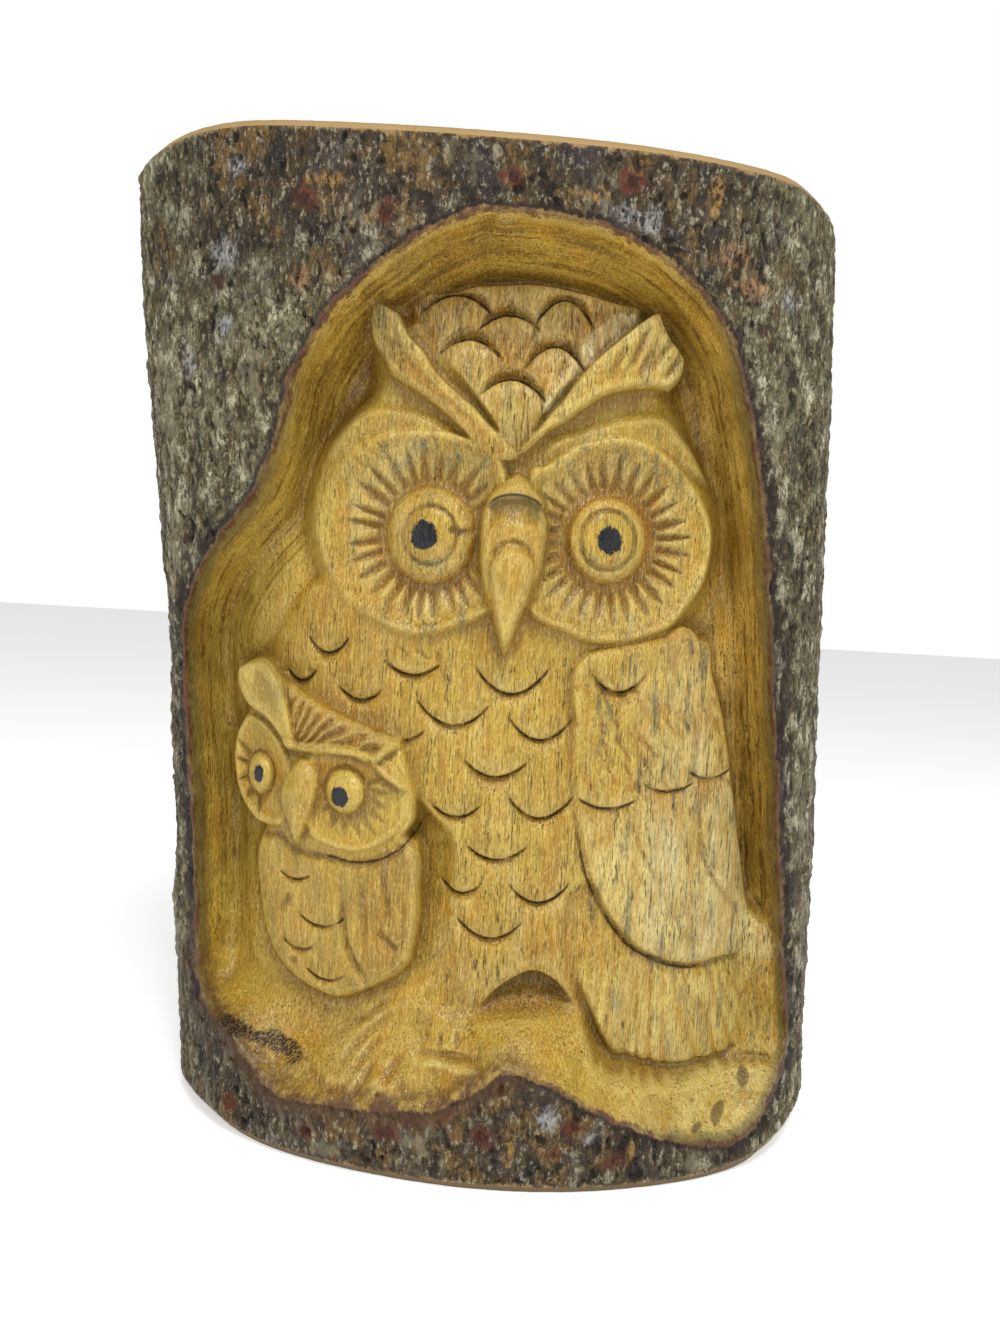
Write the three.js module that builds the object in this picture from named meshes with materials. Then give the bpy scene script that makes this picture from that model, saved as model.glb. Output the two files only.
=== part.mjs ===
// Owl and owlet carved in relief into the front of one short log with its bark left on.
// Millimetres. Z is up, the carving faces -Y, X runs to the viewer's right.

import * as THREE from 'three';

// the log
const HEIGHT = 199.6;            // underside to the middle of the sawn top
const TOP_RADIUS = 77.8;
const BASE_RADIUS = 72.2;
const AXIS_AT_BASE = 8.6;        // the trunk leans a little to the left as it rises
const AXIS_AT_TOP = -3;
const TOP_SLOPE = -0.02;         // the top saw cut falls to the right
const BARK_SWELL = 0.5;          // long, low swellings of the bark
const FRONT_FULLNESS = 0.82;     // below 1 the front is fuller than a true circle
const TOP_BEVEL = 1.4;
const BASE_BEVEL = 1.4;
const WORN_CORNER = 4.5;         // extra wear of the rim at the far left and right

// depths of the carving, measured under the bark
const GROUND = 15;               // floor of the recess around the owls
const GROUND_AT_HEAD = 2;        // extra depth behind the big owl's head
const BREAST = 12.6;
const BREAST_SWELL = 2.2;
const WING_TOP = 10.8;
const TAIL_TOP = 11.6;
const HEAD_SIDE = 12.6;
const CROWN = 13.9;
const CROWN_RISE = 3;            // the forehead comes forward towards the beak
const FACE = 10.3;
const TUFT = 8.6;
const BEAK_ROOT = 9.6;
const BEAK_SWELL = 4.6;
const BILL = 5.7;
const ARCH_HOLLOW = 17.5;
const OWLET_BODY = 9.4;
const OWLET_HEAD = 9.2;
const OWLET_FACE = 8.2;
const OWLET_EAR = 6.6;
const OWLET_BEAK = 5.2;
const WALL_RUN = 8.5;            // breadth of the cove between bark and floor
const SHELF_RUN = 7.5;           // extra breadth of the sloping shelf at the foot
const EYE_RAYS = 28;             // cut rays around each eye of the big owl

// outlines on the front, each a closed run of [x, z]
const RECESS = [[4, 185.8], [22, 184.2], [37.5, 177.6], [48.2, 166.4], [54, 150], [58.1, 130.7],
  [61.8, 104.7], [65.8, 74], [70.1, 38.6], [72, 24], [69, 13.5], [60, 6], [43.6, 9.7],
  [29, 16.7], [14.5, 23.8], [6.6, 19.5], [-1, 15.4], [-18, 13], [-34.9, 13], [-45, 21.5],
  [-53.6, 26.5], [-55.9, 43], [-57.9, 70], [-60.3, 96], [-59.3, 109], [-52.5, 121.5], [-43, 133],
  [-38.5, 144], [-35.5, 156], [-28, 168], [-18, 176.5], [-6, 184]];
const TORSO = [[-33, 117], [-40, 107], [-43, 98], [-40, 88], [-28, 80], [-14, 74], [-3.5, 66],
  [-2.8, 52], [-3, 36], [4, 30], [16, 31], [28, 32], [50, 26], [68, 34], [64, 50], [59.3, 68],
  [54.6, 90], [48.6, 108], [40, 112], [8, 118], [-20, 118]];
const HEAD = [[-36, 128], [-34, 141], [-27.5, 149.5], [-22.5, 155], [-24, 162], [-21.5, 168.5],
  [-15.5, 170], [-6, 174.6], [3, 176], [12, 176.4], [24, 174.5], [33.5, 171.8], [38.5, 167.5],
  [41, 162], [39, 156], [45.5, 145], [50.5, 135], [51.3, 127], [49.5, 118], [45.5, 111.5],
  [40.5, 106], [33, 104], [24, 103.6], [15, 105.5], [8, 102], [0, 106.5], [-9, 103.2],
  [-18, 104], [-27, 109], [-33, 118]];
const FOREHEAD = [[-15, 169.5], [-6, 174], [3, 175.4], [12, 175.8], [24, 174], [31, 171],
  [16, 154], [7.8, 141.5], [0, 151]];
const LEFT_DISC = [[-31.8, 127], [-29.5, 136.5], [-23.3, 143.6], [-15.2, 146.5], [-7, 146.4],
  [0, 145], [6, 140.5], [7.5, 128], [6, 113], [-2, 107.6], [-10, 105.5], [-15, 106.5],
  [-20.3, 108.6], [-25.8, 112.5], [-30, 119]];
const RIGHT_DISC = [[13.5, 141], [18.7, 145], [23.6, 146.8], [29.5, 147.6], [35.9, 146],
  [42.3, 140.8], [47, 134.8], [49, 128.5], [47.8, 120], [44.2, 114], [40.8, 109.9],
  [35.2, 107.4], [29.8, 106.1], [24.4, 106], [19.1, 107.7], [11, 112], [9, 126], [10, 139]];
const LEFT_TUFT = [[-21.4, 170], [-20, 170], [-16.2, 168.2], [-15.6, 167.4], [-13.8, 163.9],
  [-10.9, 161], [-8.4, 157.3], [-4.8, 154.1], [-0.8, 150.9], [2.5, 147.7], [5.7, 144.8],
  [8.4, 141.6], [5.2, 140.2], [0.4, 142.9], [-4, 146.7], [-6.4, 148.8], [-9.3, 151],
  [-13.3, 153.5], [-17.3, 155.9], [-19.1, 159.1], [-21.4, 162.1], [-22.2, 166]];
const RIGHT_TUFT = [[33.4, 171.6], [34.4, 171], [36, 168], [37.4, 166.2], [39.6, 163.8],
  [40, 162.8], [39.6, 159.8], [37.4, 157.2], [36.6, 156.8], [32.9, 156.5], [28.9, 155.8],
  [24.3, 154.2], [20.6, 151.6], [16.9, 148.6], [13.2, 146.1], [9.6, 142.6], [7.8, 141.8],
  [9.4, 144.4], [13.4, 150.3], [15.5, 152.7], [18.3, 157.1], [22.3, 162], [26.3, 165.8],
  [31.2, 170.3]];
const LEFT_BROW_BAND = [[-26, 148.4], [-21.4, 150.9], [-17.3, 151.2], [-13.3, 150.7],
  [-9.3, 149.6], [-4.1, 146.8], [2, 142], [-2.8, 143], [-9.1, 144], [-17, 144],
  [-22.6, 142.5], [-28, 138.5], [-30.5, 141.5]];
const RIGHT_BROW_BAND = [[13.2, 145.5], [18.9, 148.3], [26.5, 151.3], [34.9, 153],
  [39.6, 150.4], [44.4, 145.6], [48, 139], [44, 139], [36.1, 143.5], [32.7, 144.5],
  [25.6, 144.5], [17.9, 142.6], [12.8, 140.1]];
const FOOT = [[-7, 34], [-13, 30.8], [-20, 25.4], [-27.4, 19.4], [-22, 15.4], [-12, 15],
  [-5, 19], [1, 24], [3, 29.5]];
const BEAK_OUTLINE = [[8.2, 139], [3.4, 135.5], [1.3, 131], [0.9, 125], [1.6, 118], [4, 110.5],
  [7.4, 102.6], [11, 110], [14, 117.5], [15.2, 125], [14.8, 130.5], [13, 135.3]];
const BILL_OUTLINE = [[8.3, 124.4], [5, 123], [3.9, 119.5], [4.8, 112.5], [7.4, 103.4],
  [10.4, 110], [12.5, 118], [12.2, 122.4]];
const WING = [[21.6, 103], [21.4, 90], [22.4, 76.4], [23.8, 69.5], [26, 61], [29, 54.5],
  [33.4, 48.3], [37, 44.8], [42.6, 41.9], [49, 40], [57, 40.2], [65, 39.5], [72, 41],
  [63.5, 50], [61.5, 58], [59.3, 68], [54.6, 90], [51, 100.6], [48.6, 108], [35, 108]];
const TAIL = [[24.5, 55], [24.7, 41.5], [28.4, 32], [32.4, 24.3], [38, 22.3], [45.7, 19.8],
  [57, 19.4], [64, 20.2], [71, 23.5], [74, 40], [60, 52], [36, 56]];
const ARCH = [[5.5, 31], [8, 35.5], [12, 39], [16.5, 41], [21, 39.3], [25, 35], [28.5, 29.5],
  [24, 29.5], [16, 31], [10, 30]];
const OWLET_HEAD_OUTLINE = [[-46.3, 88.4], [-49.6, 82], [-50, 75], [-48.2, 69.3], [-45, 65.3],
  [-41, 63.6], [-36.5, 64], [-32.4, 61.4], [-25, 61.2], [-20.5, 60.7], [-15.3, 61.8],
  [-10.6, 65], [-7.6, 69.5], [-7.8, 75], [-9.3, 80], [-11.6, 85.8], [-14.3, 86.6], [-20, 88.3],
  [-31, 93], [-36, 95.5], [-42, 99.6], [-47.8, 97.8], [-48.7, 94], [-46.6, 90]];
const OWLET_BODY_OUTLINE = [[-43.7, 60], [-43.3, 51], [-41.6, 43], [-38.5, 37], [-33, 32.6],
  [-27, 30.6], [-22, 30.3], [-15, 33.6], [-8, 38.8], [-6, 45], [-5.6, 54], [-7.5, 66],
  [-20, 70], [-38, 68]];
const OWLET_LEFT_DISC = [[-45.8, 87.6], [-48.9, 82], [-49.1, 75], [-47.5, 69.8], [-44.5, 66.2],
  [-41.5, 64.6], [-36, 65.2], [-33.5, 71], [-34.5, 79], [-38, 84.3], [-41.5, 87]];
const OWLET_RIGHT_DISC = [[-30.2, 64.4], [-25.1, 62.4], [-20.6, 62], [-16.2, 63.2],
  [-12, 66.3], [-9.3, 70.4], [-9.4, 75], [-11.4, 79.5], [-15, 82.6], [-20, 83.2], [-26, 82.6],
  [-31.5, 80.5], [-32, 71]];
const OWLET_EAR_OUTLINE = [[-47.6, 97.4], [-42, 99.2], [-38.6, 97], [-36.2, 93], [-34.4, 87.5],
  [-33.2, 82.2], [-35.6, 81.4], [-38, 84.2], [-41, 87], [-44, 88.3], [-46.4, 90.3],
  [-48.2, 94]];
const OWLET_CROWN_OUTLINE = [[-36, 94.3], [-30, 91.6], [-21, 88.6], [-14, 86.4], [-12, 85.2],
  [-15, 83.4], [-19.5, 82.6], [-24, 83.3], [-33.4, 82.6]];
const OWLET_BEAK_OUTLINE = [[-32, 80.2], [-35, 77], [-37, 72], [-35.3, 67], [-32.4, 61.8],
  [-29.6, 68], [-27.7, 75.6], [-29.2, 79]];

// rounded feather ends: [x, z, half width, height, thickness of the cut]
const BREAST_FEATHERS = [[-10.4, 98.3, 5.7, 2.6, 1.6], [9.1, 95.7, 7.2, 5.2, 1.4],
  [-1.9, 88.9, 7.1, 4.4, 1.4], [-12.4, 85.1, 5, 2.3, 1.3], [15.3, 86.9, 6.3, 4.4, 1.3],
  [6.9, 79.3, 6, 3, 2.6], [-0.5, 70.9, 5.2, 2.8, 1.3], [16.1, 71.4, 6.4, 4.4, 1.4],
  [8, 62.9, 6, 2.8, 1.4], [1.4, 55.7, 4, 2, 1.3], [16.8, 54.4, 6, 4, 1.3],
  [7.6, 46.8, 6.6, 4, 1.4], [-28.2, 101.4, 4.3, 3.2, 1.6], [-33.8, 95.3, 3.3, 2.4, 1.4],
  [-20.8, 92.5, 4.6, 2.5, 1.3], [30.3, 96.9, 5.8, 4.2, 2.6]];
const CROWN_FEATHERS = [[-5.3, 172.3, 6.6, 3.4, 2.4], [5.2, 168.9, 6, 3, 2.2],
  [15.6, 172.6, 5.6, 5.2, 2], [-2.4, 163.8, 5.9, 3.2, 2.2], [14.2, 163.4, 6.2, 5.4, 2],
  [6.1, 156.4, 6.6, 4, 2]];
const WING_COVERTS = [[29.6, 73.7, 6, 2, 5], [42, 77, 5.4, 1.7, 5], [50.8, 79.4, 4.6, 1.6, 5]];
const OWLET_FEATHERS = [[-33.1, 54.6, 3.6, 1.4, 1.2], [-27, 45.9, 5, 2.2, 1.2],
  [-31.6, 40.1, 3.5, 1.5, 1.2], [-25.4, 34.9, 4.3, 1.8, 1.2]];

// single grooves and ridges, each an open run of [x, z]
const FOOT_FOLDS = [[[-9, 34.4], [-15.7, 28.8], [-24.4, 21.7]],
  [[-8.8, 32], [-16.2, 25], [-23.2, 17]], [[-12.1, 26.8], [-16, 21.4], [-20.2, 16.7]],
  [[-12.6, 23.4], [-15.8, 17.7], [-18.8, 13]], [[-7.5, 23.5], [-10.4, 20], [-13.9, 15.6]],
  [[-7.5, 23.5], [-1, 23.7], [4.9, 24], [10.7, 23.5]]];
const WING_QUILLS = [[[25, 72], [29, 60], [37, 48]], [[31, 72], [36, 58], [45, 45]],
  [[38, 75], [44, 58], [53, 43]], [[45, 76], [51, 60], [59, 46]],
  [[36, 97], [35.5, 88], [36, 78]], [[43, 98], [45.5, 88], [47, 80]]];
const WING_LINES = [[[33, 75], [36.7, 65.6], [41.7, 57.2], [47.3, 47.8], [54, 42.6]],
  [[49, 76], [49.9, 64.6], [54.5, 56.2], [62.5, 47]]];
const TUFT_SLITS = [[[33, 171.6], [30, 163.2], [27.9, 158.6]],
  [[35.4, 169.6], [31.6, 160.8], [30.1, 158]], [[38, 168.6], [34.4, 162.8], [32.3, 159.4]],
  [[40.4, 166], [37, 161], [34.9, 157.8]], [[27.6, 164.2], [24.5, 156.8]]];
const OWLET_WING_EDGE = [[-22.8, 61], [-21.8, 46.5], [-20.3, 41.4], [-17.9, 37.8], [-15.6, 34.1]];
const OWLET_WING_NOTCH = [[-15.3, 47.2], [-12.6, 45], [-10.2, 42.8]];
const OWLET_BROW = [[-36, 84], [-34.8, 82.3], [-30.7, 82.2], [-25.7, 82.7], [-20.9, 82.6],
  [-17.2, 81]];
const OWLET_RIGHT_BROW = [[-17.4, 80.8], [-14.8, 83.2], [-11.6, 85.6]];
const OWLET_LID = [[-17.2, 81], [-14.5, 78.6], [-9.6, 76]];
// wedge cuts beside the owlet's eyes: where each ends, its breadth at the eye
const OWLET_RIGHT_CUTS = [[-14.3, 78, 1.9], [-13, 74.9, 2.1], [-13, 71.6, 2.2], [-13.6, 68.4, 2.2],
  [-15.8, 66, 2.2], [-18.9, 64.7, 2.2], [-22.2, 64.8, 2.1], [-25.4, 66, 1.9]];
const OWLET_LEFT_CUTS = [[-48.6, 82.6, 1.4], [-49, 78, 1.1], [-48.6, 72.4, 1.1], [-46.2, 67.8, 1.2]];

// the four eyes
const LEFT_EYE = { x: -8.3, z: 125.8, socket: [9.7, 10.3], ball: [9, 9.6], iris: [5.3, 5.7] };
const RIGHT_EYE = { x: 26.5, z: 126.8, socket: [9.5, 9.9], ball: [8, 8.6], iris: [5.45, 5.8] };
const OWLET_EYES = [
  { outline: OWLET_LEFT_DISC, cuts: OWLET_LEFT_CUTS, x: -41.8, z: 75.3,
    socket: [3.4, 4.6], ball: [3.2, 4.4] },
  { outline: OWLET_RIGHT_DISC, cuts: OWLET_RIGHT_CUTS, x: -22.6, z: 74.4,
    socket: [4.6, 5], ball: [4.2, 4.6] },
];

// how finely the surface is faceted
const CARVED_ANGLE = 1.25;       // the carving lies within this angle of the front
const FRONT_COLUMNS = 230;
const BACK_COLUMNS = 60;
const SIDE_ROWS = 230;
const TRIANGLES = 9800;

const clamp = (t, low = 0, high = 1) => Math.min(high, Math.max(low, t));

function ease(t) {
  const k = clamp(t);
  return k * k * (3 - 2 * k);
}

// A smooth curve through the given points, as short straight pieces.
function smoothRun(points, closed, steps) {
  const flat = points.map(([x, z]) => new THREE.Vector3(x, 0, z));
  const curve = new THREE.CatmullRomCurve3(flat, closed, 'catmullrom', 0.5);
  const pieces = (closed ? flat.length : flat.length - 1) * steps;
  const run = [];
  for (let i = 0; i <= pieces; i += 1) {
    const p = curve.getPoint(i / pieces);
    run.push([p.x, p.z]);
  }
  return run;
}

const outlineCache = new Map();

function preparedOutline(points) {
  if (!outlineCache.has(points)) {
    const run = smoothRun(points, true, 5);
    const box = new THREE.Box2();
    run.forEach(([x, z]) => box.expandByPoint(new THREE.Vector2(x, z)));
    outlineCache.set(points, { run, box });
  }
  return outlineCache.get(points);
}

// Distance inside a closed outline; negative outside it.
function within(points, x, z, margin = 3) {
  const { run, box } = preparedOutline(points);
  const outside = x < box.min.x - margin || x > box.max.x + margin
    || z < box.min.y - margin || z > box.max.y + margin;
  if (outside) return -99;
  let best = Infinity;
  let inside = false;
  for (let i = 0; i + 1 < run.length; i += 1) {
    const [x0, z0] = run[i];
    const [x1, z1] = run[i + 1];
    const dx = x1 - x0;
    const dz = z1 - z0;
    const t = clamp(((x - x0) * dx + (z - z0) * dz) / (dx * dx + dz * dz + 1e-9));
    best = Math.min(best, (x - x0 - t * dx) ** 2 + (z - z0 - t * dz) ** 2);
    if ((z0 > z) !== (z1 > z) && x < x0 + ((z - z0) * dx) / dz) inside = !inside;
  }
  return inside ? Math.sqrt(best) : -Math.sqrt(best);
}

const pathCache = new Map();

// Depth of a groove (or height of a ridge, if depth is negative) along an open path.
function along(points, x, z, width, depth, taper = 0.25) {
  if (!pathCache.has(points)) pathCache.set(points, smoothRun(points, false, 5));
  const run = pathCache.get(points);
  let best = Infinity;
  let place = 0;
  for (let i = 0; i + 1 < run.length; i += 1) {
    const [x0, z0] = run[i];
    const [x1, z1] = run[i + 1];
    const dx = x1 - x0;
    const dz = z1 - z0;
    const t = clamp(((x - x0) * dx + (z - z0) * dz) / (dx * dx + dz * dz));
    const gap = (x - x0 - t * dx) ** 2 + (z - z0 - t * dz) ** 2;
    if (gap < best) {
      best = gap;
      place = (i + t) / (run.length - 1);
    }
  }
  const fade = ease(Math.min(place, 1 - place) / taper);
  return depth * fade * clamp(1 - best / (width * width));
}

// Lay one level of the carving over another, sloping in from the edge over `run`.
function over(below, level, inside, run) {
  return below + (level - below) * ease(inside / run);
}

const roundedLip = (inside, breadth) => clamp(1 - inside / breadth) ** 2;

// The gouge cut past a rounded feather end; `up` is -1 for ends that point upwards.
function featherCut([cx, cz, half, sag, thick], x, z, depth, up = 1, run = 1) {
  const t = (x - cx) / half;
  if (Math.abs(t) >= 1) return 0;
  const full = 1 - t * t;
  const slope = (2 * sag * t) / half;
  const past = (up * (cz - z) + sag * t * t) / Math.hypot(1, slope);
  const breadth = thick * Math.sqrt(full) * run;
  const cut = past > 0 ? clamp(1 - past / breadth) : ease(1 + past / 0.35);
  return cut * depth * full ** 0.6;
}

// A ring of V cuts that are broad at the eye and end in a point.
function eyeRays(x, z, eye, reach, count, depth) {
  const turn = (Math.atan2(z - eye.z, x - eye.x) / (2 * Math.PI)) * count;
  const off = Math.abs(turn - Math.floor(turn) - 0.5) * 2;
  const t = clamp(reach / 0.8);
  const breadth = Math.max(1.05 * (1 - t), 0.02);
  return clamp(1.2 - (1.2 * off) / breadth) * depth * Math.sqrt(1 - t);
}

// One of the big owl's facial discs: lip, shallow dish, rays, socket, ball and iris ring.
function faceDisc(below, x, z, outline, eye, level) {
  const inside = within(outline, x, z);
  if (inside <= 0) return below;
  const [sx, sz] = eye.socket;
  const beyond = (Math.hypot((x - eye.x) / sx, (z - eye.z) / sz) - 1) * (sx + sz) * 0.5;
  const reach = clamp(beyond / Math.max(beyond + inside - 1.6, 0.5));
  let depth = level + 0.9 * roundedLip(inside, 1.2);
  depth += (0.5 + 2.9 * (1 - reach) ** 0.8) * ease((inside - 1) / 2.2);
  if (beyond > -0.5 && inside > 1.4) depth += eyeRays(x, z, eye, reach, EYE_RAYS, 1.45);
  if (beyond < 1.2) depth += (level + 4 - depth) * ease(1 - beyond / 1.2);
  const ball = Math.hypot((x - eye.x) / eye.ball[0], (z - eye.z) / eye.ball[1]);
  if (ball < 1) {
    const iris = Math.hypot((x - eye.x) / eye.iris[0], (z - eye.z) / eye.iris[1]);
    depth = level + 4 - 3.9 * Math.sqrt(1 - ball ** 2.4);
    if (iris < 1) depth = Math.min(depth, level + 0.85);
    depth += 0.75 * clamp(1 - (((iris - 1) * 5.5) / 0.75) ** 2);
  }
  return over(below, depth, inside, 1.4);
}

// A wedge cut that is broad at the owlet's eye and runs out to a point.
function wedgeCut(x, z, eye, [tipX, tipZ, breadth]) {
  const long = Math.hypot(tipX - eye.x, tipZ - eye.z);
  const ux = (tipX - eye.x) / long;
  const uz = (tipZ - eye.z) / long;
  const root = 1 / Math.hypot(ux / eye.ball[0], uz / eye.ball[1]);
  const out = (x - eye.x) * ux + (z - eye.z) * uz;
  if (out < root - 0.6) return 0;
  const aside = Math.abs((z - eye.z) * ux - (x - eye.x) * uz);
  const t = clamp((out - root) / (long - root));
  return clamp(1.15 - (1.15 * aside) / (breadth * (1 - t) + 1e-3)) * Math.sqrt(1 - t);
}

function owletDisc(below, x, z, eye) {
  const inside = within(eye.outline, x, z);
  if (inside <= 0) return below;
  const spread = Math.hypot((x - eye.x) / eye.socket[0], (z - eye.z) / eye.socket[1]);
  let cuts = 0;
  for (const cut of eye.cuts) cuts = Math.max(cuts, wedgeCut(x, z, eye, cut));
  let depth = OWLET_FACE + 0.8 * roundedLip(inside, 1.2) + 1.1 * ease((inside - 0.8) / 3);
  depth += cuts * ease(inside - 0.6);
  if (spread < 1.04) depth = OWLET_FACE + 1.7;
  const ball = Math.hypot((x - eye.x) / eye.ball[0], (z - eye.z) / eye.ball[1]);
  if (ball < 1) depth = OWLET_FACE + 1.7 - 3.1 * Math.sqrt(1 - ball ** 2.2);
  return over(below, depth, inside, 1.1);
}

// The recess floor, its cove and the sloping shelf with the foot.
function recessFloor(x, z, edge) {
  const shelf = SHELF_RUN * ease((44 - z) / 22) * ease((x + 62) / 30);
  const run = WALL_RUN + shelf + 3 * ease((z - 150) / 20);
  const floor = GROUND + GROUND_AT_HEAD * ease((z - 110) / 40) - 3 * ease((60 - z) / 30);
  let depth = floor * Math.sin((clamp(edge / run) * Math.PI) / 2) ** 1.15;
  for (const outline of [HEAD, WING, OWLET_HEAD_OUTLINE, OWLET_BODY_OUTLINE]) {
    depth += 1.6 * Math.exp(-((within(outline, x, z, 5) / 2.6) ** 2)) * ease(edge / 6);
  }
  depth += 0.5 * ease((z - 128) / 30) * ease((edge - 7) / 1.5);
  depth -= 1.3 * ease((within(FOOT, x, z) + 0.6) / 2.4) * ease((edge - 1) / 3);
  for (const fold of FOOT_FOLDS) depth += along(fold, x, z, 1.2, 1, 0.4);
  return depth;
}

function bigOwlBody(below, x, z, edge) {
  let depth = below;
  const body = within(TORSO, x, z);
  const swell = BREAST_SWELL * Math.exp(-(((x - 8) / 15) ** 2) - ((z - 72) / 28) ** 2);
  const breast = BREAST + 0.6 * ease((z - 90) / 25) - swell + 1.6 * roundedLip(body, 6);
  depth = over(depth, breast, body, 3.4);

  const tail = within(TAIL, x, z);
  const ledge = ease((tail + 3.2) / 2.6) * ease((edge - 1) / 3);
  depth += Math.max(TAIL_TOP + 2.2 - depth, 0) * ledge;
  if (tail > 0) {
    const fan = THREE.MathUtils.radToDeg(Math.atan2(x - 33, 95 - z)) / 5.2;
    const quill = 0.7 * Math.sin(Math.PI * (fan - Math.floor(fan))) ** 0.7;
    let feathers = TAIL_TOP + 0.9 * roundedLip(tail, 3) + 1.6 * ease((z - 34) / 12);
    feathers += 0.35 - 0.8 * ease((x - 52) / 16) - quill * ease(tail / 2);
    depth = over(depth, feathers, tail, 1);
  }

  const wing = within(WING, x, z);
  if (wing > 0) {
    let feathers = WING_TOP + roundedLip(wing, 2.6) - 0.6 * ease((x - 44) / 18);
    for (const quill of WING_QUILLS) feathers += along(quill, x, z, 2.2, 0.45);
    for (const line of WING_LINES) feathers += along(line, x, z, 0.8, 0.5, 0.15);
    depth = over(depth, feathers, wing, 1.3);
  }
  return depth;
}

function bigOwlHead(below, x, z) {
  const cove = ease((z - 143) / 5) * ease((160 - z) / 5);
  let depth = over(below, HEAD_SIDE + 1.5 * cove, within(HEAD, x, z, 4), 5);
  for (const outline of [LEFT_BROW_BAND, RIGHT_BROW_BAND]) {
    depth = over(depth, FACE + 1.3, within(outline, x, z), 1.3);
  }
  const forehead = CROWN - CROWN_RISE * ease((173 - z) / 26);
  depth = over(depth, forehead, within(FOREHEAD, x, z), 1.2);
  depth = faceDisc(depth, x, z, LEFT_DISC, LEFT_EYE, FACE - 0.075 * (x - 2));
  depth = faceDisc(depth, x, z, RIGHT_DISC, RIGHT_EYE, FACE + 0.02 * (x - 14));

  const bead = Math.hypot((x - 43) / 4.2, (z - 106) / 4.4);
  if (bead < 1 && within(RIGHT_DISC, x, z) < 0.4) {
    depth = Math.min(depth, 13.6 - 2.6 * Math.sqrt(1 - bead * bead));
  }

  for (const outline of [LEFT_TUFT, RIGHT_TUFT]) {
    const tuft = within(outline, x, z);
    let level = TUFT + 0.8 * roundedLip(tuft, 0.9);
    if (outline === RIGHT_TUFT) {
      level += 0.16 * clamp(z - 156 - (x - 22) * 1.18, 0, 8) * ease((32 - x) / 8);
      for (const slit of TUFT_SLITS) level += along(slit, x, z, 1.1, 1.3, 0.35);
    } else {
      level += 0.3 * clamp(-(x + 8) * 0.62 - (z - 158) * 0.78 - 1, 0, 8);
    }
    depth = over(depth, level, tuft, 1.7);
  }

  const beak = within(BEAK_OUTLINE, x, z);
  const ridge = 1 - clamp(1 - beak / 6.2) ** 1.8;
  depth = over(depth, BEAK_ROOT - BEAK_SWELL * ridge + 0.9 * ease((z - 131) / 6), beak, 1.6);
  const bill = within(BILL_OUTLINE, x, z);
  depth = over(depth, BILL - 1.7 * (1 - clamp(1 - bill / 4) ** 1.7), bill, 1);
  const brow = Math.abs(z - 132.7 + 0.055 * (x - 8.3) ** 2);
  depth += 1.7 * clamp(1 - brow / 1.6) * ease((6.6 - Math.abs(x - 8.3)) / 2.5);
  return depth;
}

function featherCuts(x, z) {
  let depth = 0;
  for (const end of BREAST_FEATHERS) {
    depth += featherCut(end, x, z, end[4] < 2 ? 1.3 : 1.8, 1, 1.3);
  }
  for (const end of CROWN_FEATHERS) depth += featherCut(end, x, z, 2.4, -1, 1.25);
  for (const end of WING_COVERTS) depth += featherCut(end, x, z, 1, 1, 1.4);
  return depth;
}

function owlet(below, x, z) {
  let depth = below;
  const body = within(OWLET_BODY_OUTLINE, x, z);
  let level = OWLET_BODY + 1.8 * roundedLip(body, 5);
  level += Math.max(along(OWLET_WING_EDGE, x, z, 1, 1), along(OWLET_WING_NOTCH, x, z, 1, 1));
  depth = over(depth, level, body, 2);
  for (const end of OWLET_FEATHERS) depth += featherCut(end, x, z, 1.1);

  const head = within(OWLET_HEAD_OUTLINE, x, z);
  depth = over(depth, OWLET_HEAD + roundedLip(head, 2.4), head, 1.5);
  for (const eye of OWLET_EYES) depth = owletDisc(depth, x, z, eye);
  const crown = within(OWLET_CROWN_OUTLINE, x, z);
  const across = (x * 0.42 + z * 0.91) / 3.6;
  const facet = Math.abs(across - Math.round(across));
  depth = over(depth, OWLET_HEAD - 1.7 + 3.2 * facet, crown, 1.7);
  const ear = within(OWLET_EAR_OUTLINE, x, z);
  const fold = Math.abs((x + 40) * 0.8 + (z - 91) * 0.42);
  depth = over(depth, OWLET_EAR + roundedLip(ear, 1.4) + 0.25 * clamp(3 - fold, 0, 3), ear, 1.3);
  depth += along(OWLET_BROW, x, z, 1.25, -1.5, 0.12);
  depth += along(OWLET_RIGHT_BROW, x, z, 1.1, -1.5, 0.12);
  depth += along(OWLET_LID, x, z, 0.9, -1.5, 0.12);
  const beak = within(OWLET_BEAK_OUTLINE, x, z);
  depth = over(depth, OWLET_BEAK + 2.4 * clamp(1 - beak / 3.4) ** 1.2, beak, 0.9);
  return depth;
}

// Depth of the whole carving under the bark at one place of the front.
function carvedDepth(x, z) {
  const edge = within(RECESS, x, z, 0);
  if (edge <= 0) return 0;
  let depth = recessFloor(x, z, edge);
  depth = bigOwlBody(depth, x, z, edge);
  depth = bigOwlHead(depth, x, z);
  depth += featherCuts(x, z);
  const hollow = ARCH_HOLLOW + (depth - ARCH_HOLLOW) * ease((37.5 - z) / 7);
  depth = over(depth, Math.max(hollow, depth), within(ARCH, x, z), 1.6);
  depth = owlet(depth, x, z);
  // at the lower right the wing and tail run out to the bark
  const here = ease((x - 52) / 8) * ease((z - 15) / 5) * ease((58 - z) / 14);
  depth += Math.min(0.4 + 1.15 * edge - depth, 0) * here;
  return depth * ease(edge / 2.6 + 0.12);
}

// A bump around the rim, centred on an angle (radians) and spread over another.
function aroundRim(angle, centre, spread) {
  const apart = Math.atan2(Math.sin(angle - centre), Math.cos(angle - centre));
  return Math.exp(-((apart / spread) ** 2));
}

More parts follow.
